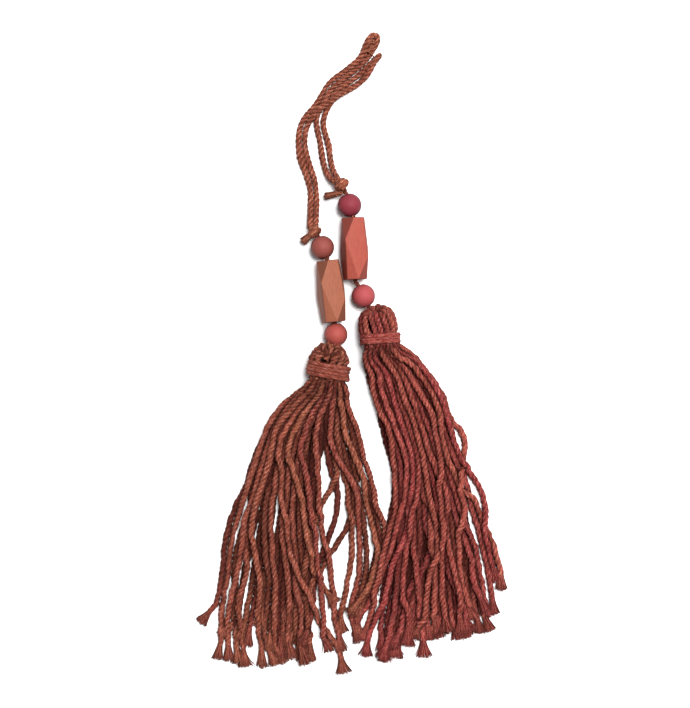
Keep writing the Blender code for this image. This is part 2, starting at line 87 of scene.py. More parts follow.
@dataclass(frozen=True)
class JuteFinish:
    """Dyed jute: fibres along the ply, uneven dye, painted shade in the grooves and under other strands."""

    name: str
    light: tuple[float, float, float]
    dark: tuple[float, float, float]
    warm: tuple[float, float, float]
    pale: tuple[float, float, float]
    # painted_shade: colour of full painted shade, which the grooves and strands under others darken towards.
    painted_shade: tuple[float, float, float] = (0.015, 0.0015, 0.0009)
    fibre_width: float = 0.42 * MM
    fibre_length: float = 2.8 * MM
    blotch: float = 9.0 * MM
    groove_shade: float = 0.72
    depth_shade: float = 0.90
    bump: float = 0.7

    def material(self) -> bpy.types.Material:
        """Make the node material.

        Returns:
            The material, which reads the attributes lay, tint, groove and depth (painted shade) of a twine mesh.
        """
        material = bpy.data.materials.new(self.name)
        material.use_nodes = True
        nodes, links = material.node_tree.nodes, material.node_tree.links
        shader = nodes["Principled BSDF"]
        shader.inputs["Roughness"].default_value = 0.85
        shader.inputs["Specular IOR Level"].default_value = 0.05
        shader.inputs["Sheen Weight"].default_value = 0.02
        shader.inputs["Sheen Roughness"].default_value = 0.5
        shader.inputs["Sheen Tint"].default_value = (1.0, 0.75, 0.62, 1.0)

        lay = nodes.new("ShaderNodeAttribute")
        lay.attribute_name = "lay"
        tint = nodes.new("ShaderNodeAttribute")
        tint.attribute_name = "tint"
        groove = nodes.new("ShaderNodeAttribute")
        groove.attribute_name = "groove"

        fibres = self._noise(nodes, links, lay, (1 / self.fibre_width, 1 / self.fibre_width,
                                                 1 / self.fibre_length), 3.0)
        blotches = self._noise(nodes, links, lay, (1 / self.blotch,) * 3, 2.0)

        hue = nodes.new("ShaderNodeMix")
        hue.data_type = "RGBA"
        hue.inputs["A"].default_value = (*self.light, 1.0)
        hue.inputs["B"].default_value = (*self.warm, 1.0)
        links.new(tint.outputs["Fac"], hue.inputs["Factor"])

        dull = nodes.new("ShaderNodeMapRange")
        dull.inputs["From Min"].default_value = 0.36
        dull.inputs["From Max"].default_value = 0.58
        dull.inputs["To Min"].default_value = 0.80
        dull.inputs["To Max"].default_value = 0.0
        links.new(fibres.outputs["Fac"], dull.inputs["Value"])
        streaked = nodes.new("ShaderNodeMix")
        streaked.data_type = "RGBA"
        streaked.inputs["B"].default_value = (*self.dark, 1.0)
        links.new(dull.outputs["Result"], streaked.inputs["Factor"])
        links.new(hue.outputs["Result"], streaked.inputs["A"])

        bright = nodes.new("ShaderNodeMapRange")
        bright.inputs["From Min"].default_value = 0.52
        bright.inputs["From Max"].default_value = 0.72
        bright.inputs["To Max"].default_value = 0.85
        links.new(fibres.outputs["Fac"], bright.inputs["Value"])
        dusty = nodes.new("ShaderNodeMix")
        dusty.data_type = "RGBA"
        dusty.inputs["B"].default_value = (*self.pale, 1.0)
        links.new(bright.outputs["Result"], dusty.inputs["Factor"])
        links.new(streaked.outputs["Result"], dusty.inputs["A"])

        worn = nodes.new("ShaderNodeMapRange")
        worn.inputs["From Min"].default_value = 0.35
        worn.inputs["From Max"].default_value = 0.65
        worn.inputs["To Min"].default_value = 0.76
        worn.inputs["To Max"].default_value = 1.20
        links.new(blotches.outputs["Fac"], worn.inputs["Value"])
        # Painted shade: grooves and strands under or against others are darkened towards painted_shade.
        shade = nodes.new("ShaderNodeMapRange")
        shade.inputs["To Min"].default_value = 1.0
        shade.inputs["To Max"].default_value = 1.0 - self.groove_shade
        links.new(groove.outputs["Fac"], shade.inputs["Value"])
        depth = nodes.new("ShaderNodeAttribute")
        depth.attribute_name = "depth"
        painted_depth_factor = nodes.new("ShaderNodeMapRange")
        painted_depth_factor.inputs["To Min"].default_value = 1.0
        painted_depth_factor.inputs["To Max"].default_value = 1.0 - self.depth_shade
        links.new(depth.outputs["Fac"], painted_depth_factor.inputs["Value"])
        painted_shade_factor = nodes.new("ShaderNodeMath")
        painted_shade_factor.operation = "MULTIPLY"
        links.new(shade.outputs["Result"], painted_shade_factor.inputs[0])
        links.new(painted_depth_factor.outputs["Result"], painted_shade_factor.inputs[1])
        level = nodes.new("ShaderNodeVectorMath")
        level.operation = "SCALE"
        links.new(dusty.outputs["Result"], level.inputs[0])
        links.new(worn.outputs["Result"], level.inputs["Scale"])
        final = nodes.new("ShaderNodeMix")
        final.data_type = "RGBA"
        final.inputs["A"].default_value = (*self.painted_shade, 1.0)
        links.new(painted_shade_factor.outputs["Value"], final.inputs["Factor"])
        links.new(level.outputs["Vector"], final.inputs["B"])
        links.new(final.outputs["Result"], shader.inputs["Base Color"])

        relief = nodes.new("ShaderNodeBump")
        relief.inputs["Strength"].default_value = self.bump
        relief.inputs["Distance"].default_value = 0.25 * MM
        links.new(fibres.outputs["Fac"], relief.inputs["Height"])
        links.new(relief.outputs["Normal"], shader.inputs["Normal"])
        return material

    @staticmethod
    def _noise(nodes: bpy.types.Nodes, links: bpy.types.NodeLinks, source: bpy.types.Node,
               scale: Point, detail: float) -> bpy.types.Node:
        """Noise on stretched twine coordinates.

        Args:
            nodes: The material's nodes.
            links: The material's links.
            source: Node that gives the twine coordinates.
            scale: Scale of the three coordinates.
            detail: Octaves of the noise.

        Returns:
            The noise node.
        """
        stretch = nodes.new("ShaderNodeVectorMath")
        stretch.operation = "MULTIPLY"
        stretch.inputs[1].default_value = scale
        links.new(source.outputs["Vector"], stretch.inputs[0])
        noise = nodes.new("ShaderNodeTexNoise")
        noise.inputs["Scale"].default_value = 1.0
        noise.inputs["Detail"].default_value = detail
        links.new(stretch.outputs["Vector"], noise.inputs["Vector"])
        return noise


@dataclass(frozen=True)
class WoodFinish:
    """Dyed and polished wood with grain along the bore, and painted shade on faces that turn from up."""

    name: str
    face: tuple[float, float, float]
    grain: tuple[float, float, float]
    roughness: float = 0.62
    # side_shade: how dark the painted shade gets on faces that turn away from up.
    side_shade: float = 0.66
    grain_width: float = 0.45 * MM
    grain_length: float = 7.0 * MM

    def material(self, axis: Vector) -> bpy.types.Material:
        """Make the node material.

        Args:
            axis: Direction of the bore in the row frame, along which the grain runs.

        Returns:
            The material, on object coordinates and the attribute side.
        """
        material = bpy.data.materials.new(self.name)
        material.use_nodes = True
        nodes, links = material.node_tree.nodes, material.node_tree.links
        shader = nodes["Principled BSDF"]
        shader.inputs["Roughness"].default_value = self.roughness
        shader.inputs["Specular IOR Level"].default_value = 0.16
        place = nodes.new("ShaderNodeTexCoord")
        turn = nodes.new("ShaderNodeMapping")
        turn.vector_type = "POINT"
        turn.inputs["Rotation"].default_value = (0.0, 0.0, -math.atan2(axis.y, axis.x))
        links.new(place.outputs["Object"], turn.inputs["Vector"])
        stretch = nodes.new("ShaderNodeVectorMath")
        stretch.operation = "MULTIPLY"
        stretch.inputs[1].default_value = (1 / self.grain_length, 1 / self.grain_width, 1 / self.grain_width)
        links.new(turn.outputs["Vector"], stretch.inputs[0])
        grain = nodes.new("ShaderNodeTexNoise")
        grain.inputs["Scale"].default_value = 1.0
        grain.inputs["Detail"].default_value = 4.0
        links.new(stretch.outputs["Vector"], grain.inputs["Vector"])
        pores = nodes.new("ShaderNodeTexNoise")
        pores.inputs["Scale"].default_value = 3.2
        pores.inputs["Detail"].default_value = 1.0
        links.new(stretch.outputs["Vector"], pores.inputs["Vector"])
        dots = nodes.new("ShaderNodeMapRange")
        dots.inputs["From Min"].default_value = 0.60
        dots.inputs["From Max"].default_value = 0.66
        dots.inputs["To Max"].default_value = 0.75
        links.new(pores.outputs["Fac"], dots.inputs["Value"])
        soft = nodes.new("ShaderNodeMapRange")
        soft.inputs["From Min"].default_value = 0.36
        soft.inputs["From Max"].default_value = 0.70
        soft.inputs["To Max"].default_value = 0.55
        links.new(grain.outputs["Fac"], soft.inputs["Value"])
        most = nodes.new("ShaderNodeMath")
        most.operation = "MAXIMUM"
        links.new(dots.outputs["Result"], most.inputs[0])
        links.new(soft.outputs["Result"], most.inputs[1])
        colour = nodes.new("ShaderNodeMix")
        colour.data_type = "RGBA"
        colour.inputs["A"].default_value = (*self.face, 1.0)
        colour.inputs["B"].default_value = (*self.grain, 1.0)
        links.new(most.outputs["Value"], colour.inputs["Factor"])
        # Painted shade: faces that turn away from up are darkened by the attribute side.
        side = nodes.new("ShaderNodeAttribute")
        side.attribute_name = "side"
        shade = nodes.new("ShaderNodeMapRange")
        shade.inputs["To Min"].default_value = 1.0
        shade.inputs["To Max"].default_value = 1.0 - self.side_shade
        links.new(side.outputs["Fac"], shade.inputs["Value"])
        final = nodes.new("ShaderNodeVectorMath")
        final.operation = "SCALE"
        links.new(colour.outputs["Result"], final.inputs[0])
        links.new(shade.outputs["Result"], final.inputs["Scale"])
        links.new(final.outputs["Vector"], shader.inputs["Base Color"])
        relief = nodes.new("ShaderNodeBump")
        relief.inputs["Strength"].default_value = 0.12
        relief.inputs["Distance"].default_value = 0.1 * MM
        links.new(grain.outputs["Fac"], relief.inputs["Height"])
        links.new(relief.outputs["Normal"], shader.inputs["Normal"])
        return material


# Routes and twine meshes


def smooth_route(points: list[Point] | np.ndarray, step: float) -> np.ndarray:
    """Lay points an even step apart on a Catmull-Rom curve.

    Args:
        points: Points that the curve goes through.
        step: Distance between the new points, in the same unit.

    Returns:
        The new points, one a row.
    """
    knots = np.array(points, float)
    ends = np.vstack([2 * knots[0] - knots[1], knots, 2 * knots[-1] - knots[-2]])
    share = np.linspace(0.0, 1.0, 12, endpoint=False)[:, None]
    fine = []
    for a, b, c, d in zip(ends[:-3], ends[1:-2], ends[2:-1], ends[3:]):
        fine.append(0.5 * (2 * b + (c - a) * share + (2 * a - 5 * b + 4 * c - d) * share ** 2
                           + (3 * b - a - 3 * c + d) * share ** 3))
    fine = np.vstack([*fine, knots[-1:]])
    along = np.concatenate([[0.0], np.cumsum(np.linalg.norm(np.diff(fine, axis=0), axis=1))])
    stops = np.linspace(0.0, along[-1], max(2, round(along[-1] / step)) + 1)
    return np.stack([np.interp(stops, along, fine[:, axis]) for axis in range(3)], axis=1)


def frames_along(route: np.ndarray) -> tuple[np.ndarray, np.ndarray, np.ndarray]:
    """Carry a square frame along a route without twisting it.

    Args:
        route: Points of the route.

    Returns:
        Unit tangents, normals and binormals, one a row.
    """
    tangent = np.gradient(route, axis=0)
    tangent /= np.linalg.norm(tangent, axis=1)[:, None]
    start = np.array([0.0, 0.0, 1.0])
    if abs(tangent[0] @ start) > 0.9:
        start = np.array([1.0, 0.0, 0.0])
    normal = np.empty_like(tangent)
    last = start
    for index, along in enumerate(tangent):
        last = last - (last @ along) * along
        last = last / np.linalg.norm(last)
        normal[index] = last
    return tangent, normal, np.cross(tangent, normal)


@dataclass(frozen=True)
class Twine:
    """A laid twine: plies twisted round each other."""

    radius: float = 2.8
    plies: int = 3
    lay: float = 14.0
    spread: float = 0.62
    sides: int = 12
    step: float = 1.4

    def section(self) -> tuple[np.ndarray, np.ndarray, np.ndarray]:
        """Outline of the plies round the middle.

        Returns:
            Angles, reach against the radius, and depth in the groove from 0 to 1, which sets the painted shade there.
        """
        angle = math.tau * np.arange(self.sides) / self.sides
        half = math.pi / self.plies
        local = (angle + half) % (2 * half) - half
        reach = self.spread * np.cos(local) + np.sqrt(1.0 - (self.spread * np.sin(local)) ** 2)
        groove = (reach.max() - reach) / (reach.max() - reach.min()) * min(1.0, self.spread / 0.6)
        return angle, reach / reach.max(), groove


class MeshBatch:
    """Many closed pieces gathered into one mesh, with the twine attributes."""

    def __init__(self, name: str) -> None:
        """Start an empty batch for the object of that name."""
        self.name = name
        self.count = 0
        self.points: list[np.ndarray] = []
        self.lay: list[np.ndarray] = []
        self.tint: list[np.ndarray] = []
        self.groove: list[np.ndarray] = []
        self.depth: list[np.ndarray] = []
        self.quads: list[np.ndarray] = []
        self.triangles: list[np.ndarray] = []

    def _take(self, points: np.ndarray, lay: np.ndarray, tint: np.ndarray, groove: np.ndarray,
              quads: np.ndarray, triangles: np.ndarray, depth: np.ndarray) -> None:
        """Add points and faces whose indices start at nought."""
        self.points.append(points)
        self.lay.append(lay)
        self.tint.append(tint)
        self.groove.append(groove)
        self.depth.append(depth)
        self.quads.append(quads + self.count)
        self.triangles.append(triangles + self.count)
        self.count += len(points)

    def sweep(self, route: np.ndarray, twine: Twine, phase: float, tint: float,
              scale: np.ndarray | float = 1.0, painted_shade_share: np.ndarray | float = 0.0,
              crowd: Crowd | None = None, number: int = -1) -> None:
        """Add a twisted twine along a route.

        Args:
            route: Points in mm, an even step apart.
            twine: The twine.
            phase: Turn of the plies at the start.
            tint: Share of the warm colour.
            scale: Radius against the twine's, for each point or for all.
            painted_shade_share: Painted shade for how deep it lies under others, from 0 to 1, for each point or for
                all.
            crowd: The strands that it may lie against, which add painted shade where they touch.
            number: Its own place in the crowd.
        """
        tangent, normal, binormal = frames_along(route)
        gaps = np.linalg.norm(np.diff(route, axis=0), axis=1)
        along = np.concatenate([[0.0], np.cumsum(gaps)])
        theta, reach, groove = twine.section()
        rings, sides = len(route), twine.sides
        turn = math.tau * along / twine.lay + phase
        angle = theta[None, :] + turn[:, None]
        radius = twine.radius * np.broadcast_to(np.asarray(scale, float), (rings,))
        size = radius[:, None] * reach[None, :]
        ring = (route[:, None, :] + (size * np.cos(angle))[..., None] * normal[:, None, :]
                + (size * np.sin(angle))[..., None] * binormal[:, None, :])
        fibre = theta[None, :] + 0.6 * turn[:, None]
        lay = np.stack([size * np.cos(fibre), size * np.sin(fibre),
                        np.broadcast_to(along[:, None] + 137.0 * phase, size.shape)], axis=2)
        points = np.vstack([ring.reshape(-1, 3), route[:1], route[-1:]])
        lays = np.vstack([lay.reshape(-1, 3), lay[0, :1], lay[-1, :1]])
        # The caps' middles take part of the painted groove shade.
        grooves = np.concatenate([np.tile(groove, rings), [0.6, 0.6]])
        step, around = np.meshgrid(np.arange(rings - 1), np.arange(sides), indexing="ij")
        beside = (around + 1) % sides
        quads = np.stack([step * sides + around, step * sides + beside,
                          (step + 1) * sides + beside, (step + 1) * sides + around], axis=2).reshape(-1, 4)
        edge = np.arange(sides)
        following = (edge + 1) % sides
        first, last = rings * sides, rings * sides + 1
        base = (rings - 1) * sides
        caps = np.vstack([np.stack([following, edge, np.full(sides, first)], axis=1),
                          np.stack([base + edge, base + following, np.full(sides, last)], axis=1)])
        # Painted shade, stored as the attribute depth: the given share, and more where it lies against the crowd.
        painted_shade = np.repeat(np.broadcast_to(np.asarray(painted_shade_share, float), (rings,))[:, None], sides, axis=1)
        if crowd is not None:
            painted_shade = 1.0 - (1.0 - painted_shade) * (1.0 - crowd.painted_contact_shade(number, route, ring))
        depth = np.concatenate([painted_shade.ravel(), painted_shade[0, :1], painted_shade[-1, :1]])
        self._take(points, lays, np.full(len(points), tint), grooves, quads, caps, depth)

    def fibres(self, start: np.ndarray, bend: np.ndarray, end: np.ndarray, radius: np.ndarray,
               tint: np.ndarray, rings: int = 3, sides: int = 3, taper: float = 0.35,
               shade: np.ndarray | float = 0.15, painted_shade_share: float = 0.0) -> None:
        """Add many fine closed fibres, each a curve of three control points.

        Args:
            start: First points in mm, one a row.
            bend: Control points of the bends.
            end: Last points.
            radius: Radius of each fibre in mm.
            tint: Share of the warm colour of each.
            rings: Rings along a fibre.
            sides: Points round a ring.
            taper: Radius at the end against that at the start.
            shade: How much of the painted groove shade each takes, from 0 to 1.
            painted_shade_share: Painted shade for how deep they lie under others, from 0 to 1.
        """
        many = len(start)
        share = np.linspace(0.0, 1.0, rings)[None, :, None]
        line = ((1 - share) ** 2 * start[:, None, :] + 2 * share * (1 - share) * bend[:, None, :]
                + share ** 2 * end[:, None, :])
        tangent = np.gradient(line, axis=1)
        tangent /= np.linalg.norm(tangent, axis=2)[..., None] + 1e-9
        upright = np.where(np.abs(tangent[:, :1, 2:3]) > 0.9, [[[1.0, 0.0, 0.0]]], [[[0.0, 0.0, 1.0]]])
        normal = np.cross(upright, tangent)
        normal /= np.linalg.norm(normal, axis=2)[..., None] + 1e-9
        binormal = np.cross(tangent, normal)
        theta = math.tau * np.arange(sides) / sides
        size = radius[:, None] * np.linspace(1.0, taper, rings)[None, :]
        ring = (line[:, :, None, :]
                + (size[..., None] * np.cos(theta))[..., None] * normal[:, :, None, :]
                + (size[..., None] * np.sin(theta))[..., None] * binormal[:, :, None, :])
        each = rings * sides
        base = np.arange(many)[:, None, None] * each
        step, around = np.meshgrid(np.arange(rings - 1), np.arange(sides), indexing="ij")
        beside = (around + 1) % sides
        quad = np.stack([step * sides + around, step * sides + beside,
                         (step + 1) * sides + beside, (step + 1) * sides + around], axis=2).reshape(-1, 4)
        fan = np.array([[0, index + 1, index] for index in range(1, sides - 1)])
        caps = np.vstack([fan, (rings - 1) * sides + fan[:, ::-1]])
        flat = ring.reshape(-1, 3)
        lay = flat.copy()
        groove = np.repeat(np.broadcast_to(np.asarray(shade, float), (many,)), each)
        self._take(flat, lay, np.repeat(tint, each), groove,
                   (base + quad[None]).reshape(-1, 4), (base + caps[None]).reshape(-1, 3),
                   np.full(len(flat), painted_shade_share))

    def build(self, material: bpy.types.Material) -> bpy.types.Object:
        """Turn the batch into an object in metres.

        Args:
            material: Its material.

        Returns:
            The object, linked to the scene.
        """
        points = np.vstack(self.points) * MM
        points[:, 2] = np.maximum(points[:, 2], 0.0)
        quads, triangles = np.vstack(self.quads), np.vstack(self.triangles)
        mesh = bpy.data.meshes.new(self.name)
        mesh.vertices.add(len(points))
        mesh.vertices.foreach_set("co", points.ravel())
        corners = np.concatenate([quads.ravel(), triangles.ravel()]).astype(np.int32)
        mesh.loops.add(len(corners))
        mesh.loops.foreach_set("vertex_index", corners)
        starts = np.concatenate([4 * np.arange(len(quads)),
                                 4 * len(quads) + 3 * np.arange(len(triangles))]).astype(np.int32)
        mesh.polygons.add(len(starts))
        mesh.polygons.foreach_set("loop_start", starts)
        mesh.polygons.foreach_set("use_smooth", np.ones(len(starts), bool))
        mesh.update(calc_edges=True)
        lay = mesh.attributes.new("lay", "FLOAT_VECTOR", "POINT")
        lay.data.foreach_set("vector", (np.vstack(self.lay) * MM).ravel())
        # groove and depth carry painted shade.
        for name, values in (("tint", self.tint), ("groove", self.groove), ("depth", self.depth)):
            column = mesh.attributes.new(name, "FLOAT", "POINT")
            column.data.foreach_set("value", np.concatenate(values))
        mesh.materials.append(material)
        thing = bpy.data.objects.new(self.name, mesh)
        bpy.context.scene.collection.objects.link(thing)
        return thing


@dataclass(frozen=True)
class Fuzz:
    """Loose fibres that stand off a twine."""

    per_cm: float = 7.0
    length: tuple[float, float] = (1.8, 8.5)
    radius: tuple[float, float] = (0.07, 0.12)
    lift: float = 0.55

    def cover(self, batch: MeshBatch, route: np.ndarray, twine: Twine, tint: float,
              chance: np.random.Generator) -> None:
        """Put fibres along a twine.

        Args:
            batch: Mesh that takes them.
            route: The twine's points in mm.
            twine: The twine.
            tint: Share of the warm colour.
            chance: Seeded source of random numbers.
        """
        tangent, normal, binormal = frames_along(route)
        reach = np.linalg.norm(np.diff(route, axis=0), axis=1).sum()
        many = max(1, int(self.per_cm * reach / 10.0))
        at = chance.integers(1, len(route) - 1, many)
        angle = chance.uniform(0.0, math.tau, many)
        out = np.cos(angle)[:, None] * normal[at] + np.sin(angle)[:, None] * binormal[at]
        around = np.cross(tangent[at], out)
        length = chance.uniform(*self.length, many)[:, None]
        way = np.where(chance.random(many) < 0.5, -1.0, 1.0)[:, None]
        start = route[at] + out * twine.radius * 0.72
        bend = start + out * length * self.lift * 0.5 + tangent[at] * way * length * 0.35
        end = (bend + tangent[at] * way * length * 0.45 + around * length * chance.normal(0.0, 0.35, (many, 1))
               + out * length * chance.uniform(-0.25, self.lift, (many, 1)))
        end[:, 2] = np.maximum(end[:, 2], 0.1)
        batch.fibres(start, bend, end, chance.uniform(*self.radius, many), np.full(many, tint))


@dataclass(frozen=True)
class Brush:
    """Cut end of a twine, opened into a broom of yarn ends."""

    length: float = 14.5
    locks: int = 54
    wide: float = 6.4
    thick: float = 3.2
    lock_radius: tuple[float, float] = (0.30, 0.56)

    def open(self, batch: MeshBatch, end: np.ndarray, heading: np.ndarray, radius: float, tint: float,
             chance: np.random.Generator) -> None:
        """Put the broom on a twine's end.

        Args:
            batch: Mesh that takes it.
            end: Last point of the twine in mm.
            heading: Unit direction of the twine there.
            radius: Radius of the twine.
            tint: Share of the warm colour.
            chance: Seeded source of random numbers.
        """
        side = np.cross([0.0, 0.0, 1.0], heading)
        side /= np.linalg.norm(side) + 1e-9
        rise = np.cross(heading, side)
        many = self.locks
        reach = np.sqrt(chance.random(many))
        angle = chance.uniform(0.0, math.tau, many)
        u, v = reach * np.cos(angle), reach * np.sin(angle)
        size = self.length * chance.uniform(0.85, 1.05, many) * (1.0 - 0.10 * np.abs(u)) * chance.uniform(0.76, 1.12)
        start = (end - heading * 3.0 + side * (u * radius * 0.62)[:, None] + rise * (v * radius * 0.62)[:, None])
        bend = (end + heading * (size * 0.42)[:, None] + side * (u * radius * 1.05)[:, None]
                + rise * (v * radius)[:, None])
        wide = self.wide * chance.uniform(0.78, 1.3)
        tip = (end + heading * size[:, None] + side * (u * wide + chance.normal(0, 0.4, many))[:, None]
               + rise * (v * self.thick)[:, None])
        tip[:, 2] = np.maximum(tip[:, 2], 0.45)
        bend[:, 2] = np.maximum(bend[:, 2], 0.6)
        # Painted shade: locks near the broom's sides are darker, some at random, so that brooms side by side part.
        batch.fibres(start, bend, tip, chance.uniform(*self.lock_radius, many),
                     np.clip(tint + chance.normal(0.0, 0.12, many), 0.0, 1.0), rings=5, sides=4, taper=0.62,
                     shade=np.clip(1.25 * u ** 2 + chance.uniform(-0.4, 0.3, many), 0.0, 1.0),
                     # Painted shade for the whole broom, a small random share.
                     painted_shade_share=float(chance.uniform(0.0, 0.16)))
        thin = many
        pick = chance.integers(0, many, thin)
        start = bend[pick]
        far = tip[pick] + heading * chance.uniform(-1.0, 1.6, (thin, 1)) + side * chance.normal(0, 1.1, (thin, 1))
        far[:, 2] = np.maximum(far[:, 2] + chance.normal(0.0, 0.6, thin), 0.2)
        batch.fibres(start, (start + far) / 2 + rise * 0.3, far, chance.uniform(0.07, 0.13, thin), np.full(thin, tint))


# Camera, light and floor


@dataclass
class Studio:
    """White table, soft light from the upper right and a camera straight above."""

    middle: Spot = (-6.8, 62.9)
    view_height: float = 601.8
    focal: float = 100.0
    sensor: float = 36.0
    subject_height: float = 8.0
    floor_size: float = 12.0
    key_from: Point = (0.27, 0.27, 1.0)
    key: float = 6.2
    softness: float = 32.0
    room: float = 0.30

    def build(self) -> None:
        """Make the camera, the floor, the lights and the world."""
        scene = bpy.context.scene
        scene.view_settings.view_transform = "Standard"
        lens = bpy.data.cameras.new("camera")
        lens.lens = self.focal
        lens.sensor_fit = "VERTICAL"
        lens.sensor_height = self.sensor
        lens.clip_end = 50.0
        camera = bpy.data.objects.new("camera", lens)
        away = self.view_height * self.focal / self.sensor + self.subject_height
        camera.location = (self.middle[0] * MM, self.middle[1] * MM, away * MM)
        scene.collection.objects.link(camera)
        scene.camera = camera

        shape = bmesh.new()
        bmesh.ops.create_grid(shape, x_segments=1, y_segments=1, size=self.floor_size / 2)
        mesh = bpy.data.meshes.new("floor")
        shape.to_mesh(mesh)
        shape.free()
        floor = bpy.data.objects.new("floor", mesh)
        scene.collection.objects.link(floor)
        paper = bpy.data.materials.new("white paper")
        paper.use_nodes = True
        shader = paper.node_tree.nodes["Principled BSDF"]
        shader.inputs["Base Color"].default_value = (0.93, 0.93, 0.935, 1.0)
        shader.inputs["Roughness"].default_value = 0.9
        shader.inputs["Specular IOR Level"].default_value = 0.0
        mesh.materials.append(paper)

        world = bpy.data.worlds.new("soft room")
        world.use_nodes = True
        sky = world.node_tree.nodes["Background"]
        sky.inputs["Color"].default_value = (1.0, 1.0, 1.0, 1.0)
        sky.inputs["Strength"].default_value = self.room
        scene.world = world
        lamp = bpy.data.lights.new("key", "SUN")
        lamp.energy = self.key
        lamp.angle = math.radians(self.softness)
        key = bpy.data.objects.new("key", lamp)
        key.rotation_euler = (-Vector(self.key_from)).to_track_quat("-Z", "Y").to_euler()
        key.location = Vector(self.key_from)
        scene.collection.objects.link(key)


# Hanging cords


@dataclass
class HangingCord:
    """One run of the doubled cord, from knot to knot, on the route of its solid."""

    node: str
    length: float
    route: list[Point]
    cord: Twine = field(default_factory=lambda: Twine(radius=2.7, lay=14.0, spread=0.62, sides=18, step=0.9))
    tint: float = 0.5
    swells: tuple[tuple[float, float, float], ...] = ()
    strays: tuple[tuple[Point, Point, Point], ...] = ()

    def build(self, material: bpy.types.Material, chance: np.random.Generator) -> bpy.types.Object:
        """Args:
            material: Jute finish.
            chance: Seeded source of random numbers.

        Returns:
            The cord's object.
        """
        line = smooth_route(self.route, self.cord.step)
        batch = MeshBatch(self.node + "_twist")
        along = np.arange(len(line)) * self.cord.step
        size = 1.0 + 0.05 * np.sin(along / 7.0) + 0.04 * np.sin(along / 3.1 + 1.0)
        for middle, reach, more in self.swells:
            size += more * np.exp(-((along - middle) / reach) ** 2)
        batch.sweep(line, self.cord, 1.3 * len(self.route), self.tint, size)
        piece = batch.build(material)
        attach(piece, "root")
        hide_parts(self.node)
        hairs = MeshBatch(self.node + "_fuzz")
        Fuzz(per_cm=9.0, length=(1.4, 4.6)).cover(hairs, line, self.cord, self.tint, chance)
        for start, bend, end in self.strays:
            hairs.fibres(np.array([start]), np.array([bend]), np.array([end]), np.array([0.8]), np.array([0.0]),
                         rings=7, sides=6, taper=0.7)
        fluff = hairs.build(material)
        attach(fluff, "root")
        return piece


CORD_EYE = HangingCord("cord_eye", 0.340, [
    (-36.4, 170.9, 8.0), (-36.2, 183.0, 4.4), (-36.0, 193.8, 2.2), (-36.6, 203.8, 2.2), (-39.2, 214.0, 2.2),
    (-42.6, 224.0, 2.2), (-45.0, 233.0, 2.2), (-46.2, 242.4, 2.2), (-45.8, 251.6, 2.2), (-43.6, 259.6, 2.2),
    (-39.4, 266.2, 2.2), (-34.2, 272.4, 2.2), (-29.9, 278.4, 2.2), (-26.2, 284.8, 2.2), (-22.0, 291.9, 2.2),
    (-15.8, 297.9, 2.2), (-9.3, 302.6, 2.2), (-2.5, 307.6, 2.2), (3.9, 312.8, 2.2), (8.1, 317.9, 2.2),
    (10.6, 323.4, 2.2), (12.6, 328.8, 2.2), (15.4, 333.4, 2.2), (18.6, 334.9, 2.2), (20.9, 332.2, 2.2),
    (19.9, 327.0, 2.2), (16.9, 321.6, 2.2), (13.4, 316.4, 2.2), (9.4, 311.4, 2.2), (4.4, 306.8, 2.2),
    (-2.2, 301.8, 2.2), (-9.4, 296.6, 2.2), (-15.6, 291.6, 2.2), (-20.0, 286.4, 2.2), (-23.2, 280.4, 2.2),
    (-26.9, 274.4, 2.2), (-30.0, 268.4, 2.2), (-31.2, 261.6, 2.2), (-30.2, 253.6, 2.2), (-28.2, 245.0, 2.2),
    (-27.0, 236.6, 2.2), (-25.6, 228.0, 2.2), (-23.4, 220.2, 3.2), (-20.4, 214.2, 6.2), (-17.8, 210.6, 8.2),
])
CORD_EYE.swells = ((62.0, 12.0, 0.26), (132.0, 18.0, -0.14), (173.0, 14.0, 0.29), (218.0, 22.0, -0.14))
CORD_EYE.strays = (
    ((9.0, 319.4, 4.4), (14.4, 321.8, 6.4), (19.8, 323.0, 4.2)),
    ((10.2, 322.0, 4.2), (15.0, 319.6, 6.6), (17.6, 316.2, 4.4)),
    ((12.0, 326.0, 4.6), (15.4, 329.4, 6.4), (18.6, 327.2, 4.6)),
    ((11.4, 318.6, 1.6), (14.6, 323.4, 2.4), (19.4, 328.4, 1.8)),
    ((12.6, 321.4, 2.4), (15.6, 325.0, 3.0), (18.4, 331.0, 2.0)),
    ((13.6, 318.0, 3.0), (15.4, 323.6, 3.4), (15.6, 331.4, 2.6)),
    ((14.6, 318.2, 2.0), (17.2, 324.4, 2.2), (17.4, 331.6, 2.2)),
)
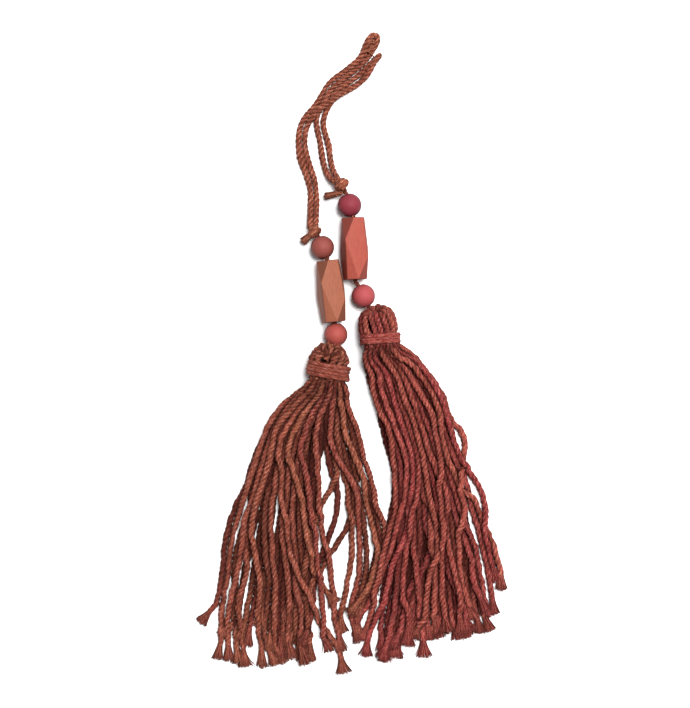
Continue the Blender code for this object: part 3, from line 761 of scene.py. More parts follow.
CORD_FOLD = HangingCord("cord_fold", 0.305, [
    (-31.6, 172.4, 8.0), (-31.2, 183.0, 4.4), (-31.0, 193.8, 2.2), (-31.6, 203.8, 2.2), (-33.2, 213.0, 2.2),
    (-36.4, 222.4, 2.2), (-39.4, 232.0, 2.2), (-41.0, 242.0, 2.2), (-40.7, 250.4, 2.2), (-39.0, 257.0, 2.4),
    (-36.0, 262.6, 4.0), (-33.4, 266.8, 6.0), (-29.8, 270.4, 6.9), (-25.2, 273.6, 7.2), (-20.4, 276.6, 7.2),
    (-16.1, 279.8, 7.0), (-12.0, 283.0, 5.2), (-7.6, 286.0, 2.8), (-2.2, 289.2, 2.2), (4.2, 293.2, 2.3),
    (9.9, 298.2, 3.6), (14.2, 303.6, 5.3), (17.2, 309.2, 6.7), (20.2, 314.0, 6.8), (21.7, 316.0, 6.2),
    (22.4, 316.9, 4.5), (21.7, 316.3, 2.8), (19.6, 314.7, 2.2), (16.2, 311.3, 2.2), (12.2, 307.2, 2.2),
    (7.0, 302.4, 2.2), (0.8, 297.6, 2.2), (-6.3, 292.8, 2.2), (-12.2, 288.4, 2.2), (-16.2, 282.8, 2.2),
    (-19.4, 276.8, 2.2), (-22.4, 270.6, 2.2), (-24.8, 263.6, 2.2), (-25.0, 256.6, 2.2), (-22.8, 248.2, 2.2),
    (-20.4, 239.6, 2.2), (-19.4, 231.0, 2.2), (-17.9, 223.0, 3.2), (-15.6, 217.0, 6.2), (-13.6, 213.4, 8.2),
])


# Beads, their string and its knots


def down_the_string(slant: float) -> Vector:
    """Direction towards the tassel, slanted to the right by so many degrees."""
    return Vector((math.sin(math.radians(slant)), -math.cos(math.radians(slant)), 0.0))


def frame_on(axis: Vector, place: Vector) -> Matrix:
    """Frame whose Z runs along an axis and whose Y stays near up.

    Args:
        axis: Direction of Z.
        place: Its origin.

    Returns:
        The matrix.
    """
    z = axis.normalized()
    x = z.cross(Vector((0.0, 0.0, 1.0))).normalized() * -1.0
    matrix = Matrix((x, z.cross(x), z)).transposed().to_4x4()
    matrix.translation = place
    return matrix


@dataclass
class Bead:
    """A dyed wooden bead on the string."""

    side: Side
    place: str
    centre: Point
    slant: float
    finish: WoodFinish
    bore: float = 3.0

    @property
    def node(self) -> str:
        """Name of the bead's solid."""
        return f"bead_{self.side.value}_{self.place}"

    def seat(self, shape: bmesh.types.BMesh, smooth: bool) -> bpy.types.Object:
        """Turn a shape about local Z into the finished piece.

        Args:
            shape: Bead about its bore, in metres.
            smooth: Whether the painted shade on the sides follows a round form, not flat facets.

        Returns:
            The piece.
        """
        axis = down_the_string(self.slant)
        shape.transform(frame_on(axis, Vector(self.centre) * MM))
        for corner in shape.verts:
            corner.co.z = max(corner.co.z, 0.0)
        bmesh.ops.recalc_face_normals(shape, faces=shape.faces)
        mesh = bpy.data.meshes.new(self.node + "_wood")
        shape.to_mesh(mesh)
        shape.free()
        # Painted shade in the attribute side: round beads darker to the rim, long ones on all but the top facet.
        if smooth:
            tilt = np.array([1.0 - max(0.0, corner.normal.z) for corner in mesh.vertices])
            values, domain = np.clip(tilt, 0.0, 1.0) ** 1.7, "POINT"
        else:
            tilt = np.array([1.0 - max(0.0, face.normal.z) for face in mesh.polygons])
            broad = np.array([face.area for face in mesh.polygons]) > 0.3 * max(face.area for face in mesh.polygons)
            top = tilt[broad].min()
            values, domain = np.where(tilt < top + 0.008, 0.0, np.clip(0.85 - 0.75 * tilt, 0.1, 1.0)), "FACE"
        column = mesh.attributes.new("side", "FLOAT", domain)
        column.data.foreach_set("value", values)
        mesh.materials.append(self.finish.material(axis))
        piece = bpy.data.objects.new(self.node + "_wood", mesh)
        bpy.context.scene.collection.objects.link(piece)
        mesh.shade_smooth()
        mesh.set_sharp_from_angle(angle=math.radians(50))
        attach(piece, "root")
        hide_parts(self.node)
        return piece


@dataclass
class RoundBead(Bead):
    """A ball with a bore whose mouths are eased."""

    radius: float = 10.0
    unevenness: float = 0.0
    ease: float = 0.5

    def build(self) -> bpy.types.Object:
        """Turn the ball's profile round the bore.

        Returns:
            The piece.
        """
        start = math.asin((self.bore + self.ease) / self.radius)
        profile = []
        for index in range(33):
            angle = start + (math.pi - 2 * start) * index / 32
            profile.append((self.radius * math.sin(angle), -self.radius * math.cos(angle)))
        mouth = profile[-1][1] - self.ease
        profile = [(self.bore, -mouth), *profile, (self.bore, mouth)]
        shape = bmesh.new()
        corners = [shape.verts.new((reach * MM, 0.0, height * MM)) for reach, height in profile]
        for first, second in zip(corners, corners[1:] + corners[:1]):
            shape.edges.new((first, second))
        bmesh.ops.spin(shape, geom=shape.verts[:] + shape.edges[:], angle=math.tau, steps=56,
                       axis=(0.0, 0.0, 1.0), cent=(0.0, 0.0, 0.0), use_merge=True)
        bmesh.ops.remove_doubles(shape, verts=shape.verts, dist=1e-6)
        for corner in shape.verts:
            angle = math.atan2(corner.co.y, corner.co.x)
            corner.co *= 1.0 + self.unevenness * math.sin(3 * angle + 140.0 * corner.co.z)
        return self.seat(shape, True)


@dataclass
class LongBead(Bead):
    """A long bead with flat cut facets, its edges slightly rubbed."""

    half: float = 26.2
    rub: float = 0.45
    facets: list[list[Point]] = field(default_factory=lambda: [
        [(-9.2, 4.2, -26.2), (1.0, 9.6, -26.2), (8.9, 6.8, -26.2), (9.9, -1.5, -26.2),
         (5.6, -8.2, -26.2), (-4.5, -8.6, -26.2), (-9.6, -3.4, -26.2)],
        [(-7.2, 12.9, -7.0), (11.8, 6.35, 8.0), (-12.0, -1.5, 3.0), (12.0, -3.5, -1.0)],
        [(7.5, -10.8, -12.0), (-5.5, -10.8, -9.0), (-6.0, -10.8, 12.0), (7.0, -10.8, 9.0)],
        [(3.2, 9.8, 26.2), (10.1, 2.4, 26.2), (8.4, -6.2, 26.2), (2.0, -9.8, 26.2),
         (-5.6, -8.3, 26.2), (-10.1, -1.0, 26.2), (-6.8, 7.0, 26.2)],
    ])

    def build(self) -> bpy.types.Object:
        """Cut the facets, bore the bead and rub its edges.

        Returns:
            The piece.
        """
        shape = bmesh.new()
        for ring in self.facets:
            for corner in ring:
                shape.verts.new(Vector(corner) * MM)
        bmesh.ops.convex_hull(shape, input=shape.verts)
        loose = [corner for corner in shape.verts if not corner.link_faces]
        bmesh.ops.delete(shape, geom=loose, context="VERTS")
        flat = [edge for edge in shape.edges if abs(edge.calc_face_angle(0.0)) < math.radians(0.5)]
        bmesh.ops.dissolve_edges(shape, edges=flat, use_verts=False)
        bmesh.ops.bevel(shape, geom=shape.edges[:], offset=self.rub * MM, segments=3, profile=0.6,
                        affect="EDGES", clamp_overlap=True)
        bmesh.ops.recalc_face_normals(shape, faces=shape.faces)
        hull = self._object(shape, "blank")
        drill = bmesh.new()
        bmesh.ops.create_cone(drill, cap_ends=True, segments=32, radius1=self.bore * MM, radius2=self.bore * MM,
                              depth=4 * self.half * MM)
        cutter = self._object(drill, "drill")
        step = hull.modifiers.new("bore", "BOOLEAN")
        step.operation = "DIFFERENCE"
        step.solver = "EXACT"
        step.object = cutter
        bpy.context.view_layer.update()
        cut = bmesh.new()
        cut.from_mesh(hull.evaluated_get(bpy.context.evaluated_depsgraph_get()).to_mesh())
        for spare in (hull, cutter):
            bpy.data.objects.remove(spare, do_unlink=True)
        return self.seat(cut, False)

    @staticmethod
    def _object(shape: bmesh.types.BMesh, name: str) -> bpy.types.Object:
        """Put a shape in an object of its own, for the bore's cut."""
        mesh = bpy.data.meshes.new(name)
        shape.to_mesh(mesh)
        shape.free()
        thing = bpy.data.objects.new(name, mesh)
        bpy.context.scene.collection.objects.link(thing)
        return thing


BEADS: list[RoundBead | LongBead] = [
    RoundBead(Side.LEFT, "upper", (-26.0, 153.4, 9.8), 22.0,
              WoodFinish("dyed wood brown rose", (0.225, 0.055, 0.043), (0.120, 0.022, 0.017))),
    LongBead(Side.LEFT, "long", (-18.9, 116.1, 10.8), 6.0,
             WoodFinish("dyed wood copper", (0.260, 0.084, 0.046), (0.150, 0.038, 0.021), roughness=0.62)),
    RoundBead(Side.LEFT, "lower", (-14.6, 79.4, 9.8), 4.0,
              WoodFinish("dyed wood rose red", (0.300, 0.060, 0.048), (0.170, 0.024, 0.020))),
    RoundBead(Side.RIGHT, "upper", (-2.9, 189.3, 9.8), 17.0,
              WoodFinish("dyed wood magenta", (0.205, 0.027, 0.039), (0.095, 0.009, 0.015)), unevenness=0.012),
    LongBead(Side.RIGHT, "long", (0.9, 152.3, 10.8), 2.2,
             WoodFinish("dyed wood coral", (0.300, 0.062, 0.042), (0.170, 0.028, 0.020), roughness=0.62)),
    RoundBead(Side.RIGHT, "lower", (8.8, 112.2, 9.8), 26.0,
              WoodFinish("dyed wood pink", (0.335, 0.060, 0.062), (0.190, 0.024, 0.027))),
]


@dataclass
class Knot:
    """Overhand knot in the two cords above the beads, with its short frayed tail."""

    side: Side
    centre: Point
    slant: float
    tilt: float
    wrap: float
    turns: float
    pitch: float
    ends: tuple[Point, Point]
    tail: list[Point]
    tail_tip: Point
    socket: Point
    cord: Twine = field(default_factory=lambda: Twine(radius=2.75, lay=13.0, spread=0.68, sides=16, step=0.8))
    tint: float = 0.2

    def string_route(self) -> list[Point]:
        """Middle line of the cord, from the knot through the beads into the head.

        Returns:
            Points in mm.
        """
        route = [self.centre]
        for bead in BEADS:
            if bead.side is self.side:
                half = 26.0 if isinstance(bead, LongBead) else 9.6
                step = down_the_string(bead.slant) * half
                middle = Vector(bead.centre)
                route += [tuple(middle - step), tuple(middle), tuple(middle + step)]
        route.append(self.socket)
        return route

    def coil(self) -> np.ndarray:
        """Wraps of the knot.

        Returns:
            Points in mm, an even step apart.
        """
        frame = frame_on(down_the_string(self.slant + self.tilt), Vector(self.centre))
        line = []
        many = 40
        for index in range(many):
            share = index / (many - 1)
            angle = math.tau * self.turns * share + 0.6
            spot = Vector((self.wrap * math.cos(angle), self.wrap * math.sin(angle),
                           self.pitch * (share - 0.5) + 0.9 * math.cos(angle + 0.8)))
            line.append(tuple(frame @ spot))
        route = smooth_route(line, self.cord.step)
        route[:, 2] = np.maximum(route[:, 2], self.cord.radius)
        return route

    def build(self, material: bpy.types.Material, chance: np.random.Generator) -> bpy.types.Object:
        """Make the string, the wraps of the knot and the tail as one piece.

        Args:
            material: Jute finish.
            chance: Seeded source of random numbers.

        Returns:
            The piece.
        """
        batch = MeshBatch(f"string_{self.side.value}_knotted")
        string = smooth_route(self.string_route(), self.cord.step)
        # The string through the beads takes a painted shade all along.
        batch.sweep(string, self.cord, 0.4, 0.9, 0.74, 0.45)
        fuzz = Fuzz(per_cm=10.0, length=(1.4, 4.6))
        heart = Vector(self.centre)
        for turn, end in enumerate(self.ends):
            start = Vector(end)
            stub = smooth_route([tuple(start), tuple(start.lerp(heart, 0.5)), tuple(heart)], self.cord.step)
            batch.sweep(stub, self.cord, 2.0 + turn, self.tint)
            fuzz.cover(batch, stub, self.cord, self.tint, chance)
        wraps = self.coil()
        swell = 1.06 - 0.16 * np.abs(np.linspace(-1.0, 1.0, len(wraps))) ** 3
        batch.sweep(wraps, self.cord, 2.0, self.tint, swell)
        fuzz.cover(batch, wraps, self.cord, self.tint, chance)
        stem = smooth_route(self.tail, self.cord.step)
        batch.sweep(stem, self.cord, 5.0, 0.05, 0.98)
        way = Vector(self.tail_tip) - Vector(tuple(stem[-1]))
        broom = Brush(length=way.length + 1.0, locks=60, wide=3.9, thick=3.2, lock_radius=(0.34, 0.60))
        broom.open(batch, stem[-1], np.array(way.normalized()), self.cord.radius, 0.05, chance)
        fuzz.cover(batch, stem, self.cord, 0.05, chance)
        piece = batch.build(material)
        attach(piece, "root")
        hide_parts(f"bead_cord_{self.side.value}")
        return piece


# Heads and their bindings


@dataclass
class Head:
    """Folded strands over a crown, bound with turns of the same twine."""

    side: Side
    crown: Point
    slant: float
    over: list[Spot]
    under: list[Spot]
    band: Spot
    core: float
    turns: int
    folds: int
    swirl: float
    band_slope: float
    mouth: Spot
    mouth_tip: float = 7.0
    dips: list[list[Point]] = field(default_factory=list)
    right_share: float = 1.0
    flatness: float = 0.82
    twine: Twine = field(default_factory=lambda: Twine(radius=2.8, lay=13.0, spread=0.7, sides=16, step=1.0))
    wrap: Twine = field(default_factory=lambda: Twine(radius=1.84, lay=24.0, spread=0.22, sides=14, step=0.9))
    # shade: greatest painted shade where the folds lie against each other.
    shade: float = 0.72

    def frame(self) -> Matrix:
        """Frame at the crown whose Z runs down the head, in mm."""
        return frame_on(down_the_string(self.slant), Vector(self.crown))

    def ring_spot(self, reach: float, angle: float, down: float) -> Vector:
        """Place round the head's axis, flattened as the head lies.

        Args:
            reach: Distance from the axis before it is flattened.
            angle: Turn round the axis.
            down: Distance below the crown.

        Returns:
            The point local to the crown, in mm.
        """
        across = reach * math.cos(angle)
        if across > 0.0:
            across *= self.right_share
        near = max(0.0, 1.0 - reach / self.core) if down < self.band[0] - 2.0 else 0.0
        tip = self.mouth[1] + self.mouth_tip * math.sin(angle)
        return Vector((across, reach * self.flatness * math.sin(angle) + self.mouth[0] * near, down + tip * near))

    def build(self, material: bpy.types.Material, wrap_material: bpy.types.Material,
              chance: np.random.Generator) -> None:
        """Make the head's folds, its core and the binding.

        Args:
            material: Jute finish of the tassel.
            wrap_material: Jute finish of the binding.
            chance: Seeded source of random numbers.
        """
        self._folds(material, chance)
        self._binding(wrap_material, chance)

    def _folds(self, material: bpy.types.Material, chance: np.random.Generator) -> None:
        """Lay the strands from the mouth at the crown down under the binding."""
        frame = self.frame()
        batch = MeshBatch(f"head_{self.side.value}_folds")
        foot = self.band[1]
        laid = []
        for fold in range(self.folds):
            base = math.tau * fold / self.folds + chance.uniform(-0.08, 0.08)
            if self.dips and abs((base + 0.5 * self.swirl) % math.tau - math.pi / 2) < math.pi / self.folds:
                continue
            profile = self.under if fold % 2 else self.over
            line = []
            for reach, down in profile:
                angle = base + self.swirl * min(1.0, max(0.0, down / self.band[0]))
                wander = chance.uniform(-0.25, 0.25)
                line.append(tuple(frame @ self.ring_spot(reach + wander, angle, down)))
            tuck = self.core - 1.6
            for down in (self.band[0] + 3.0, foot):
                line.append(tuple(frame @ self.ring_spot(tuck, base + self.swirl, down)))
            route = smooth_route(line, self.twine.step)
            route[:, 2] = np.maximum(route[:, 2], self.twine.radius * 0.9)
            tint = float(chance.uniform(0.0, 1.0))
            laid.append((route, float(chance.uniform(0, 6)), tint, float(chance.uniform(0.94, 1.06))))
            Fuzz(per_cm=6.0).cover(batch, route, self.twine, tint, chance)
        for dip in self.dips:
            route = smooth_route([tuple(frame @ Vector(spot)) for spot in dip], self.twine.step)
            laid.append((route, float(chance.uniform(0, 6)), float(chance.uniform(0.0, 0.4)), 0.92))
        # Painted shade where the folds lie against each other.
        crowd = Crowd([route for route, *_ in laid], strength=self.shade)
        for number, (route, phase, tint, scale) in enumerate(laid):
            batch.sweep(route, self.twine, phase, tint, scale, 0.0, crowd, number)
        filling = Twine(radius=self.core - 2.0, plies=7, lay=60.0, spread=0.6, sides=28, step=2.0)
        line = smooth_route([tuple(frame @ Vector((0.0, 0.0, down))) for down in (9.5, 14.0, foot)], filling.step)
        shape = 0.5 + 0.5 * np.minimum(1.0, np.linspace(0.0, 2.5, len(line)))
        # The core filling takes a strong painted shade all over, as it lies inside the folds.
        batch.sweep(line, filling, 0.0, 0.3, shape * self.flatness, 0.9)
        piece = batch.build(material)
        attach(piece, "root")
        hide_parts(f"tassel_{self.side.value}")

    def _binding(self, material: bpy.types.Material, chance: np.random.Generator) -> None:
        """Wind the binding's turns, with both ends tucked under."""
        frame = self.frame()
        start, end = self.band
        pitch = (end - start) / self.turns
        reach = self.core + GAP + self.wrap.radius
        line = []
        many = 28 * self.turns
        for index in range(many + 1):
            share = index / many
            angle = -math.tau * self.turns * share - 2.0
            down = start + pitch * 0.5 + (end - start - pitch) * share
            down += self.band_slope * math.cos(angle) + 0.25 * math.sin(1.3 * angle + 1.0)
            inward = 1.8 * max(0.0, 1.0 - min(share, 1.0 - share) * self.turns * 5.0)
            bulge = 0.4 * math.sin(0.7 * angle)
            line.append(tuple(frame @ self.ring_spot(reach + bulge - inward, angle, down)))
        route = smooth_route(line, self.wrap.step)
        route[:, 2] = np.clip(route[:, 2], self.wrap.radius * 0.8, None)
        along = np.arange(len(route)) * self.wrap.step
        size = 1.0 + 0.07 * np.sin(along / 8.0) + 0.05 * np.sin(along / 3.3)
        batch = MeshBatch(f"binding_{self.side.value}_turns")
        # The binding takes a slight painted shade all over.
        batch.sweep(route, self.wrap, 0.0, 0.65, size, 0.12)
        Fuzz(per_cm=8.0, length=(1.4, 4.8)).cover(batch, route, self.wrap, 0.4, chance)
        piece = batch.build(material)
        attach(piece, "root")
        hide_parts(f"binding_{self.side.value}")


HEADS = {
    Side.LEFT: Head(
        Side.LEFT, (-18.9, 68.6, 14.6), -6.0,
        over=[(6.4, 5.4), (6.0, 1.2), (7.2, -1.2), (9.2, -0.8), (11.9, 3.2), (14.0, 7.2), (15.2, 10.4)],
        under=[(7.8, 5.6), (8.6, 1.8), (10.4, 1.6), (12.6, 4.8), (14.4, 8.2), (15.0, 10.4)],
        band=(12.3, 28.1), core=14.8, turns=4, folds=14, swirl=0.5, band_slope=0.7, mouth=(9.0, 4.0),
        dips=[[(-7.4, -0.2, 4.0), (-6.2, 7.4, 0.4), (-4.4, 11.2, 3.4), (-2.0, 8.4, 6.6), (-1.0, 3.0, 8.4)],
              [(0.4, 1.0, 2.0), (0.2, 8.0, -0.6), (0.4, 11.8, 2.6), (0.4, 9.2, 5.8), (0.2, 3.0, 7.8)],
              [(7.4, -0.2, 4.0), (6.4, 7.4, 0.6), (4.8, 11.2, 3.8), (2.8, 8.6, 7.0), (1.6, 3.0, 8.6)]]),
    Side.RIGHT: Head(
        Side.RIGHT, (19.5, 101.6, 14.6), 9.5,
        over=[(4.0, 6.0), (4.4, 3.0), (6.6, 1.4), (10.0, 2.0), (13.0, 5.4), (14.4, 10.0), (14.9, 14.5), (15.0, 18.6)],
        under=[(6.8, 6.6), (8.8, 4.0), (11.4, 4.2), (13.5, 7.6), (14.5, 12.0), (14.8, 16.0), (14.8, 18.6)],
        band=(20.3, 32.2), core=14.3, turns=3, folds=15, swirl=-0.2, band_slope=1.0, mouth=(4.0, 2.0),
        right_share=0.9),
}


# Skirts


@dataclass
class Strand:
    """One cut strand of a skirt: its layer, and the way it lies from under the binding to its tip."""

    layer: Layer
    way: list[Spot]


SHOWN_STRANDS: dict[Side, list[Strand]] = {
    Side.LEFT: [
        Strand(Layer.MIDDLE, [(-40, 34), (-60, 17), (-73, -2), (-82, -24), (-89, -46), (-98, -70), (-103, -92),
                              (-106, -118), (-111, -140), (-112, -160), (-114, -203)]),
        Strand(Layer.LOW, [(-42, 28), (-66, 8), (-80, -20), (-90, -48), (-103, -78), (-110, -104), (-111, -128),
                           (-114, -146), (-122, -157), (-136, -165)]),
        Strand(Layer.TOP, [(-38, 32), (-55, 18), (-67, 0), (-75, -26), (-82, -52), (-92, -78), (-96, -106),
                           (-101, -132), (-105, -158), (-107, -202)]),
        Strand(Layer.TOP, [(-36, 32), (-52, 15), (-65, -2), (-71, -28), (-80, -56), (-87, -84), (-83, -108),
                           (-79, -136), (-80, -166), (-76, -206)]),
        Strand(Layer.TOP, [(-34, 34), (-44, 18), (-56, 0), (-63, -17), (-61, -44), (-58, -76), (-53, -104),
                           (-44, -128), (-35, -150), (-25, -172), (-12, -188), (-10, -213)]),
        Strand(Layer.TOP, [(-31, 34), (-38, 18), (-49, 0), (-56, -20), (-50, -38), (-44, -60), (-40, -84),
                           (-36, -110), (-29, -132), (-18, -142), (-4, -144)]),
        Strand(Layer.TOP, [(-29, 34), (-31, 18), (-39, 0), (-45, -20), (-39, -38), (-37, -64), (-33, -92),
                           (-32, -116), (-27, -136), (-26, -160), (-24, -196)]),
        Strand(Layer.TOP, [(-26, 34), (-26, 16), (-31, -6), (-32, -28), (-30, -50), (-29, -66), (-27, -88),
                           (-21, -106), (-18, -130), (-16, -152), (-12, -176), (-2, -190)]),
        Strand(Layer.LOW, [(-23, 34), (-24, 10), (-22, -18), (-16, -42), (-13, -60), (-15, -78), (-22, -96),
                           (-29, -116), (-36, -142), (-41, -190)]),
        Strand(Layer.MIDDLE, [(-20, 34), (-19, 10), (-16, -22), (-15, -44), (-22, -58), (-30, -70), (-36, -90),
                              (-41, -116), (-46, -146), (-47, -176), (-42, -203)]),
        Strand(Layer.TOP, [(-18, 34), (-19, 14), (-20, -4), (-15, -23), (-4, -40), (4, -58), (5, -84),
                           (6, -110), (4, -132), (0, -156), (4, -184)]),
        Strand(Layer.TOP, [(-14, 34), (-10, 12), (-4, -12), (5, -32), (11, -50), (12, -68), (19, -90),
                           (21, -110), (14, -134), (4, -148), (-7, -158)]),
        Strand(Layer.TOP, [(-9, 36), (-4, 16), (3, -4), (8, -24), (16, -46), (18, -66), (27, -86),
                           (26, -106), (20, -126), (12, -146)]),
        Strand(Layer.MIDDLE, [(-16, 34), (-14, 10), (-11, -22), (-5, -46), (-2, -72), (-1, -104), (-4, -130),
                              (-9, -152), (-15, -178)]),
        Strand(Layer.LOW, [(-12, 34), (-7, 4), (-1, -26), (1, -56), (-3, -82), (-13, -98), (-24, -114),
                           (-33, -128), (-43, -150)]),
        Strand(Layer.MIDDLE, [(-33, 32), (-35, 8), (-45, -24), (-51, -56), (-52, -86), (-48, -116), (-46, -150),
                              (-46, -180), (-41, -203)]),
        Strand(Layer.MIDDLE, [(-34, 30), (-41, 8), (-52, -24), (-57, -60), (-59, -96), (-56, -124), (-54, -150),
                              (-56, -176), (-54, -200)]),
        Strand(Layer.MIDDLE, [(-36, 30), (-48, 8), (-62, -28), (-70, -64), (-69, -104), (-66, -130), (-67, -158),
                              (-64, -204)]),
        Strand(Layer.MIDDLE, [(-38, 30), (-56, 8), (-72, -30), (-82, -64), (-91, -92), (-90, -120), (-97, -146),
                              (-97, -166), (-90, -209)]),
        Strand(Layer.LOW, [(-36, 30), (-54, 2), (-66, -34), (-74, -72), (-75, -104), (-72, -134), (-74, -166),
                           (-69, -206)]),
        Strand(Layer.LOW, [(-38, 30), (-60, 2), (-75, -34), (-86, -70), (-99, -106), (-101, -140), (-100, -170),
                           (-98, -206)]),
        Strand(Layer.LOW, [(-30, 30), (-38, 0), (-44, -40), (-45, -84), (-42, -122), (-40, -156), (-36, -200)]),
        Strand(Layer.LOW, [(-10, 31), (-5, 11), (0, -10), (4, -29), (11, -48), (18, -68), (23, -87), (21, -105),
                           (16, -125), (9, -146), (-1, -165)]),
        Strand(Layer.LOW, [(-15, 33), (-14, 14), (-12, -6), (-7, -26), (0, -46), (6, -64), (10, -88), (12, -110),
                           (9, -134), (3, -158), (-2, -180)]),
    ],
    Side.RIGHT: [
        Strand(Layer.TOP, [(20, 66), (23, 46), (26, 26), (34, 6), (42, -14), (47, -36), (44, -58), (39, -76),
                           (34, -96), (26, -116), (21, -136), (12, -150), (-4, -166)]),
        Strand(Layer.TOP, [(14, 66), (17, 44), (21, 22), (30, 2), (35, -20), (37, -44), (37, -66), (31, -92),
                           (24, -116), (18, -140), (16, -160), (10, -186)]),
        Strand(Layer.TOP, [(24, 66), (30, 46), (34, 26), (42, 4), (49, -16), (52, -38), (49, -64), (45, -90),
                           (36, -112), (30, -132), (25, -152), (14, -172), (12, -200)]),
        Strand(Layer.TOP, [(28, 66), (33, 46), (40, 24), (47, 2), (54, -22), (54, -50), (49, -78), (44, -104),
                           (42, -130), (45, -152), (48, -186)]),
        Strand(Layer.TOP, [(30, 66), (36, 45), (43, 26), (50, 6), (55, -14), (61, -34), (64, -60), (69, -84),
                           (70, -108), (64, -132), (60, -160), (50, -184)]),
        Strand(Layer.MIDDLE, [(31, 64), (40, 40), (47, 16), (56, -8), (61, -34), (62, -62), (62, -82),
                              (68, -102), (58, -122), (48, -140), (44, -162), (33, -188)]),
        Strand(Layer.TOP, [(32, 66), (40, 50), (50, 28), (58, 6), (62, -14), (70, -34), (79, -54), (79, -80),
                           (81, -106), (87, -130), (92, -150), (88, -178)]),
        Strand(Layer.TOP, [(34, 68), (45, 48), (55, 32), (64, 16), (70, -2), (74, -26), (74, -54), (77, -86),
                           (76, -114), (76, -142), (81, -178)]),
        Strand(Layer.TOP, [(35, 68), (49, 56), (60, 42), (69, 26), (74, 6), (76, -16), (82, -34), (92, -54),
                           (101, -58), (108, -74), (117, -96), (125, -118), (128, -142)]),
        Strand(Layer.TOP, [(37, 70), (53, 60), (65, 44), (76, 28), (82, 8), (92, -2), (96, -16), (92, -32),
                           (91, -52), (94, -70), (90, -92), (89, -118), (96, -146), (102, -168)]),
        Strand(Layer.TOP, [(36, 68), (55, 54), (68, 38), (78, 18), (84, -6), (92, -28), (104, -44), (112, -62),
                           (112, -84), (116, -104), (120, -122), (132, -127)]),
        Strand(Layer.MIDDLE, [(35, 66), (52, 48), (66, 24), (76, -2), (86, -24), (96, -48), (104, -74),
                              (110, -98), (115, -120), (118, -140), (123, -162)]),
        Strand(Layer.MIDDLE, [(34, 66), (48, 44), (62, 16), (74, -14), (84, -44), (93, -76), (103, -102),
                              (107, -126), (111, -150), (110, -166)]),
        Strand(Layer.MIDDLE, [(33, 64), (46, 40), (58, 10), (70, -22), (80, -52), (90, -84), (100, -110),
                              (104, -136), (118, -156)]),
        Strand(Layer.MIDDLE, [(30, 64), (41, 36), (53, 6), (63, -26), (72, -58), (77, -92), (83, -124),
                              (92, -146), (98, -176)]),
        Strand(Layer.MIDDLE, [(27, 64), (35, 36), (46, 6), (56, -26), (62, -60), (66, -96), (69, -128),
                              (69, -156), (70, -184)]),
        Strand(Layer.MIDDLE, [(23, 64), (28, 38), (38, 8), (46, -24), (50, -58), (53, -94), (54, -130),
                              (58, -160), (61, -197)]),
        Strand(Layer.LOW, [(18, 64), (21, 38), (30, 8), (38, -26), (41, -62), (40, -98), (37, -132),
                           (34, -162), (24, -200)]),
        Strand(Layer.LOW, [(26, 62), (33, 32), (44, -4), (52, -42), (56, -84), (52, -126), (46, -160), (40, -188)]),
        Strand(Layer.LOW, [(33, 62), (48, 32), (62, -4), (73, -42), (83, -84), (88, -126), (92, -152), (98, -176)]),
    ],
}


